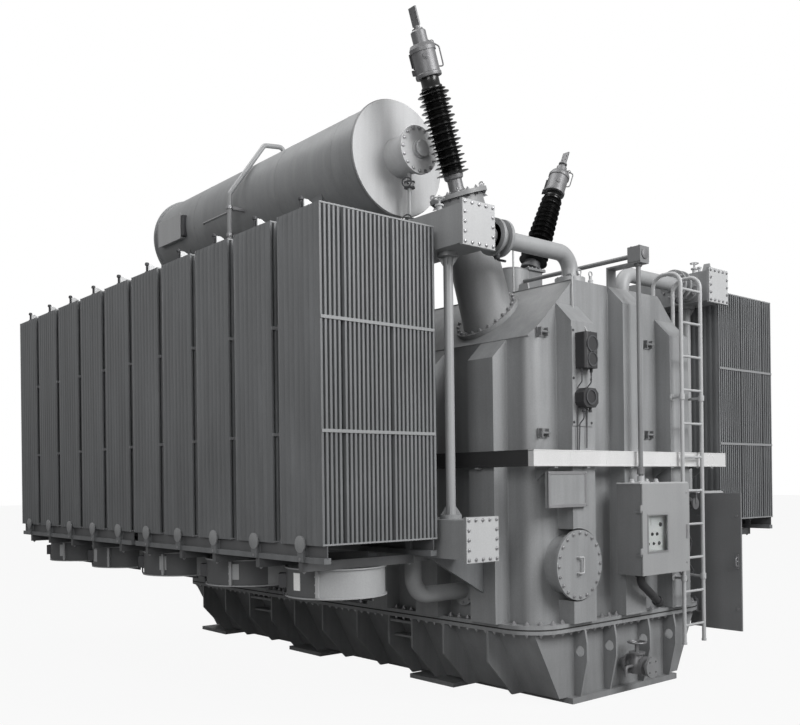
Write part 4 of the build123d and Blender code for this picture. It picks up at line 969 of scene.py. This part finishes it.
# Upper ducts: plugs, studs, an air valve near the end
duct_bits = Kit()
for side in (-1, 1):
    for x in (2.62, 2.2, 1.35, 0.4, -0.6, -1.2, -2.2, -3.1):
        duct_bits.turned((x, side * 1.70, DUCT_TOP), UP,
                         [(0.028, 0, 0.016), (0.016, 0.018, 0.05), (0.022, 0.052, 0.066)], 14)
    duct_bits.turned((2.50, side * 1.80, DUCT_TOP), UP,
                     [(0.045, 0, 0.016), (0.022, 0.02, 0.075), (0.036, 0.077, 0.09), (0.01, 0.094, 0.14)], 16)
    duct_bits.hoop((2.50, side * 1.80, 4.095), UP, 0.04, 0.006, 24, 6)
    for x in (2.75, -3.36):
        y = side * 1.62
        duct_bits.prism([(x - 0.05, y, DUCT_TOP), (x + 0.05, y, DUCT_TOP), (x + 0.03, y, 4.02),
                         (x - 0.03, y, 4.02)], (0, side * 0.014, 0))
duct_bits.make("duct_fittings", TANK_LIGHT, smooth=35)

# Conservator: side box, breather tube, rims, handwheels, clamps
cons = Kit()
cons.box((-1.94, -1.44), (-2.03, -1.93), (4.57, 4.83))
cons.box((-1.955, -1.425), (-2.036, -2.024), (4.56, 4.84))
cons.turned(conservator_at(1.955), FORE, [(0.05, 0, 0.012), (0.07, 0.014, 0.028), (0.03, 0.03)], 28)
cons.pipe([(-0.25, -1.985, 4.63), (-0.32, -2.0, 4.63), (-0.95, -2.0, 4.63), (-1.0, -1.98, 4.63)],
          0.007, 0.02, 8)
cons.turned((BREATHER_X, -1.5, 5.190), UP, [(0.06, 0, 0.014), (0.035, 0.016, 0.05)])
cons.make("conservator_side_box", TANK_LIGHT, bevel=0.004)
# Dark block along the +X edge of the side box
slot = Kit()
slot.box((-1.44, -1.372), (-2.026, -1.93), (4.585, 4.815))
slot.make("conservator_side_dark_block", DARK, bevel=0.008)
breather = Kit()
breather_path = ((-1.8, 3.957), (-1.8, 4.10), (BREATHER_Y, 4.10), (BREATHER_Y, 4.72), (-1.73, 5.29),
                 (-1.5, 5.32), (-1.5, 5.19))
breather.pipe([(BREATHER_X, y, z) for y, z in breather_path], 0.024, 0.06, 14)
breather.disc((BREATHER_X, -1.8, DUCT_TOP), UP, 0.05, 0.014)
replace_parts(breather.make("breather_tube", PIPE, smooth=50), "breather_pipe")
rims = Kit()
rims.ring(conservator_at(-2.124), FORE, 0.512, 0.486, 0.028, 96)
for x in (1.30, 0.40, -1.20):
    rims.ring(conservator_at(x), FORE, 0.4915, 0.488, 0.01, 96)
for x in (1.2, -1.75):
    rims.prism([(x + dx, -1.5, z) for dx, z in ((-0.06, 5.19), (0.06, 5.19), (0.04, 5.28), (-0.04, 5.28))],
               (0, 0.02, 0))
rims.make("conservator_rims", CONSERVATOR, smooth=35)
near_rim = Kit()
near_rim.ring(conservator_at(1.626), FORE, 0.512, 0.486, 0.014, 96)
near_rim.make("conservator_near_rim", BOX, smooth=35)
wheels = Kit()
for z in (4.115, 4.435):
    valve, d = Vector((1.8, -1.5, z)), Vector((0.55, -0.83, 0))
    wheels.turned(valve, UP, [(0.048, -0.028, -0.018), (0.03, -0.014, 0.014), (0.048, 0.018, 0.028)])
    wheels.rod(valve + d * 0.02, valve + d * 0.09, 0.008, 8)
    wheels.hoop(valve + d * 0.09, d, 0.04, 0.007, 24, 6)
wheels.make("neck_valves", DARK, smooth=35)
straps = Kit()
for z in (4.30, 4.57):
    straps.ring((BREATHER_X, BREATHER_Y, z), UP, 0.034, 0.022, 0.03, 20)
    reach = math.sqrt(CONSERVATOR_R ** 2 - (z - 4.707) ** 2)
    straps.box((-0.186, -0.154), (-2.12, -1.5 - reach + 0.006), (z, z + 0.03))
for x in (1.0, -1.5):
    for dx in (-0.068, 0.068):
        for y in (-1.86, -1.42):
            straps.bolt((x + dx, y, DUCT_TOP + 0.002), UP, 0.012, 0.01)
straps.make("breather_clamps", STEEL, smooth=35)

# Ladder clamps
ladder = Kit()
for y in (0.575, 0.89):
    for z in (0.96, 2.6):
        ladder.ring((LADDER_X, y, z - 0.025), UP, 0.026, 0.017, 0.05, 20)
        wall = END_FACE if y < 0.84 else TANK_END
        ladder.turned((wall, y, z), FORE, [(0.035, 0, 0.008), (0.016, 0.012)], 16)
    ladder.disc((LADDER_X, y, 0.362), UP, 0.022, 0.02, 16)
ladder.make("ladder_clamps", TANK_LIGHT, smooth=35)

# Flanges of the lower oil pipes
extras = Kit()
for side in (-1, 1):
    extras.turned((2.098, side * 1.15, 0.92), (0, side, 0), [(0.13, 0, 0.028, 0.056), (0.075, 0.058)], 28)
    extras.bolt_circle((2.098, side * 1.206, 0.92), (0, side, 0), 0.105, 8, 0.012, 0.012)
    extras.turned((2.098, side * DUCT_Y, 1.265), DOWN, [(0.13, 0, 0.05), (0.075, 0.052)], 28)
extras.make("lower_pipe_flanges", TANK, smooth=35)


# Stage: pale floor, white background, soft light
def white_to_camera(n, l, plain, white, share, output):
    """Camera rays see the white shader for the given share, all others the plain one."""
    part = n.new("ShaderNodeMath")
    part.operation = "MULTIPLY"
    part.inputs[1].default_value = share
    l.new(n.new("ShaderNodeLightPath").outputs["Is Camera Ray"], part.inputs[0])
    mix = n.new("ShaderNodeMixShader")
    l.new(part.outputs[0], mix.inputs["Fac"])
    l.new(plain.outputs[0], mix.inputs[1])
    l.new(white.outputs[0], mix.inputs[2])
    l.new(mix.outputs[0], n[output].inputs["Surface"])


def stage():
    floor_mesh = bpy.data.meshes.new("floor")
    half = 90.0
    floor_mesh.from_pydata([(-half, -half, 0), (half, -half, 0), (half, half, 0), (-half, half, 0)], [],
                           [(0, 1, 2, 3)])
    floor = bpy.data.objects.new("floor", floor_mesh)
    scene.collection.objects.link(floor)
    mat = bpy.data.materials.new("floor_paper")
    n, l, shader = links_for(mat)
    put(shader, {"Base Color": (0.24, 0.24, 0.24, 1), "Roughness": 0.9})
    glow = n.new("ShaderNodeEmission")
    glow.inputs["Color"].default_value = WHITE
    white_to_camera(n, l, shader, glow, 0.93, "Material Output")
    floor_mesh.materials.append(mat)

    world = bpy.data.worlds.new("studio")
    scene.world = world
    world.use_nodes = True
    n, l = world.node_tree.nodes, world.node_tree.links
    soft = n["Background"]
    put(soft, {"Color": WHITE, "Strength": 0.40})
    white = n.new("ShaderNodeBackground")
    put(white, {"Color": WHITE, "Strength": 1.0})
    white_to_camera(n, l, soft, white, 1.0, "World Output")

    def lamp(name, place, target, size, power):
        data = bpy.data.lights.new(name, "AREA")
        data.shape = "SQUARE"
        data.size = size
        data.energy = power
        obj = bpy.data.objects.new(name, data)
        scene.collection.objects.link(obj)
        obj.location = place
        obj.rotation_euler = (Vector(target) - Vector(place)).to_track_quat("-Z", "Y").to_euler()
    lamp("key", (13.0, 1.5, 9.0), (2.0, 0.0, 2.0), 7.0, 1650)
    lamp("fill", (7.5, -9.5, 5.0), (1.5, -2.5, 2.5), 4.0, 260)
    lamp("top", (-2.0, -3.0, 13.0), (0.0, 0.0, 3.0), 8.0, 700)


def camera():
    data = bpy.data.cameras.new("camera")
    data.lens = 41.8
    data.sensor_width = 36.0
    data.sensor_fit = "HORIZONTAL"
    data.shift_y = 0.15
    data.clip_end = 400
    obj = bpy.data.objects.new("camera", data)
    scene.collection.objects.link(obj)
    obj.location = (7.883, -6.790, 1.856)
    turn = Matrix.Rotation(math.radians(49.8), 3, "Z") @ Matrix.Rotation(math.radians(90), 3, "X")
    obj.rotation_euler = (turn @ Matrix.Rotation(math.radians(-0.7), 3, "Z")).to_euler()
    scene.camera = obj


stage()
camera()
scene.view_settings.view_transform = "Standard"
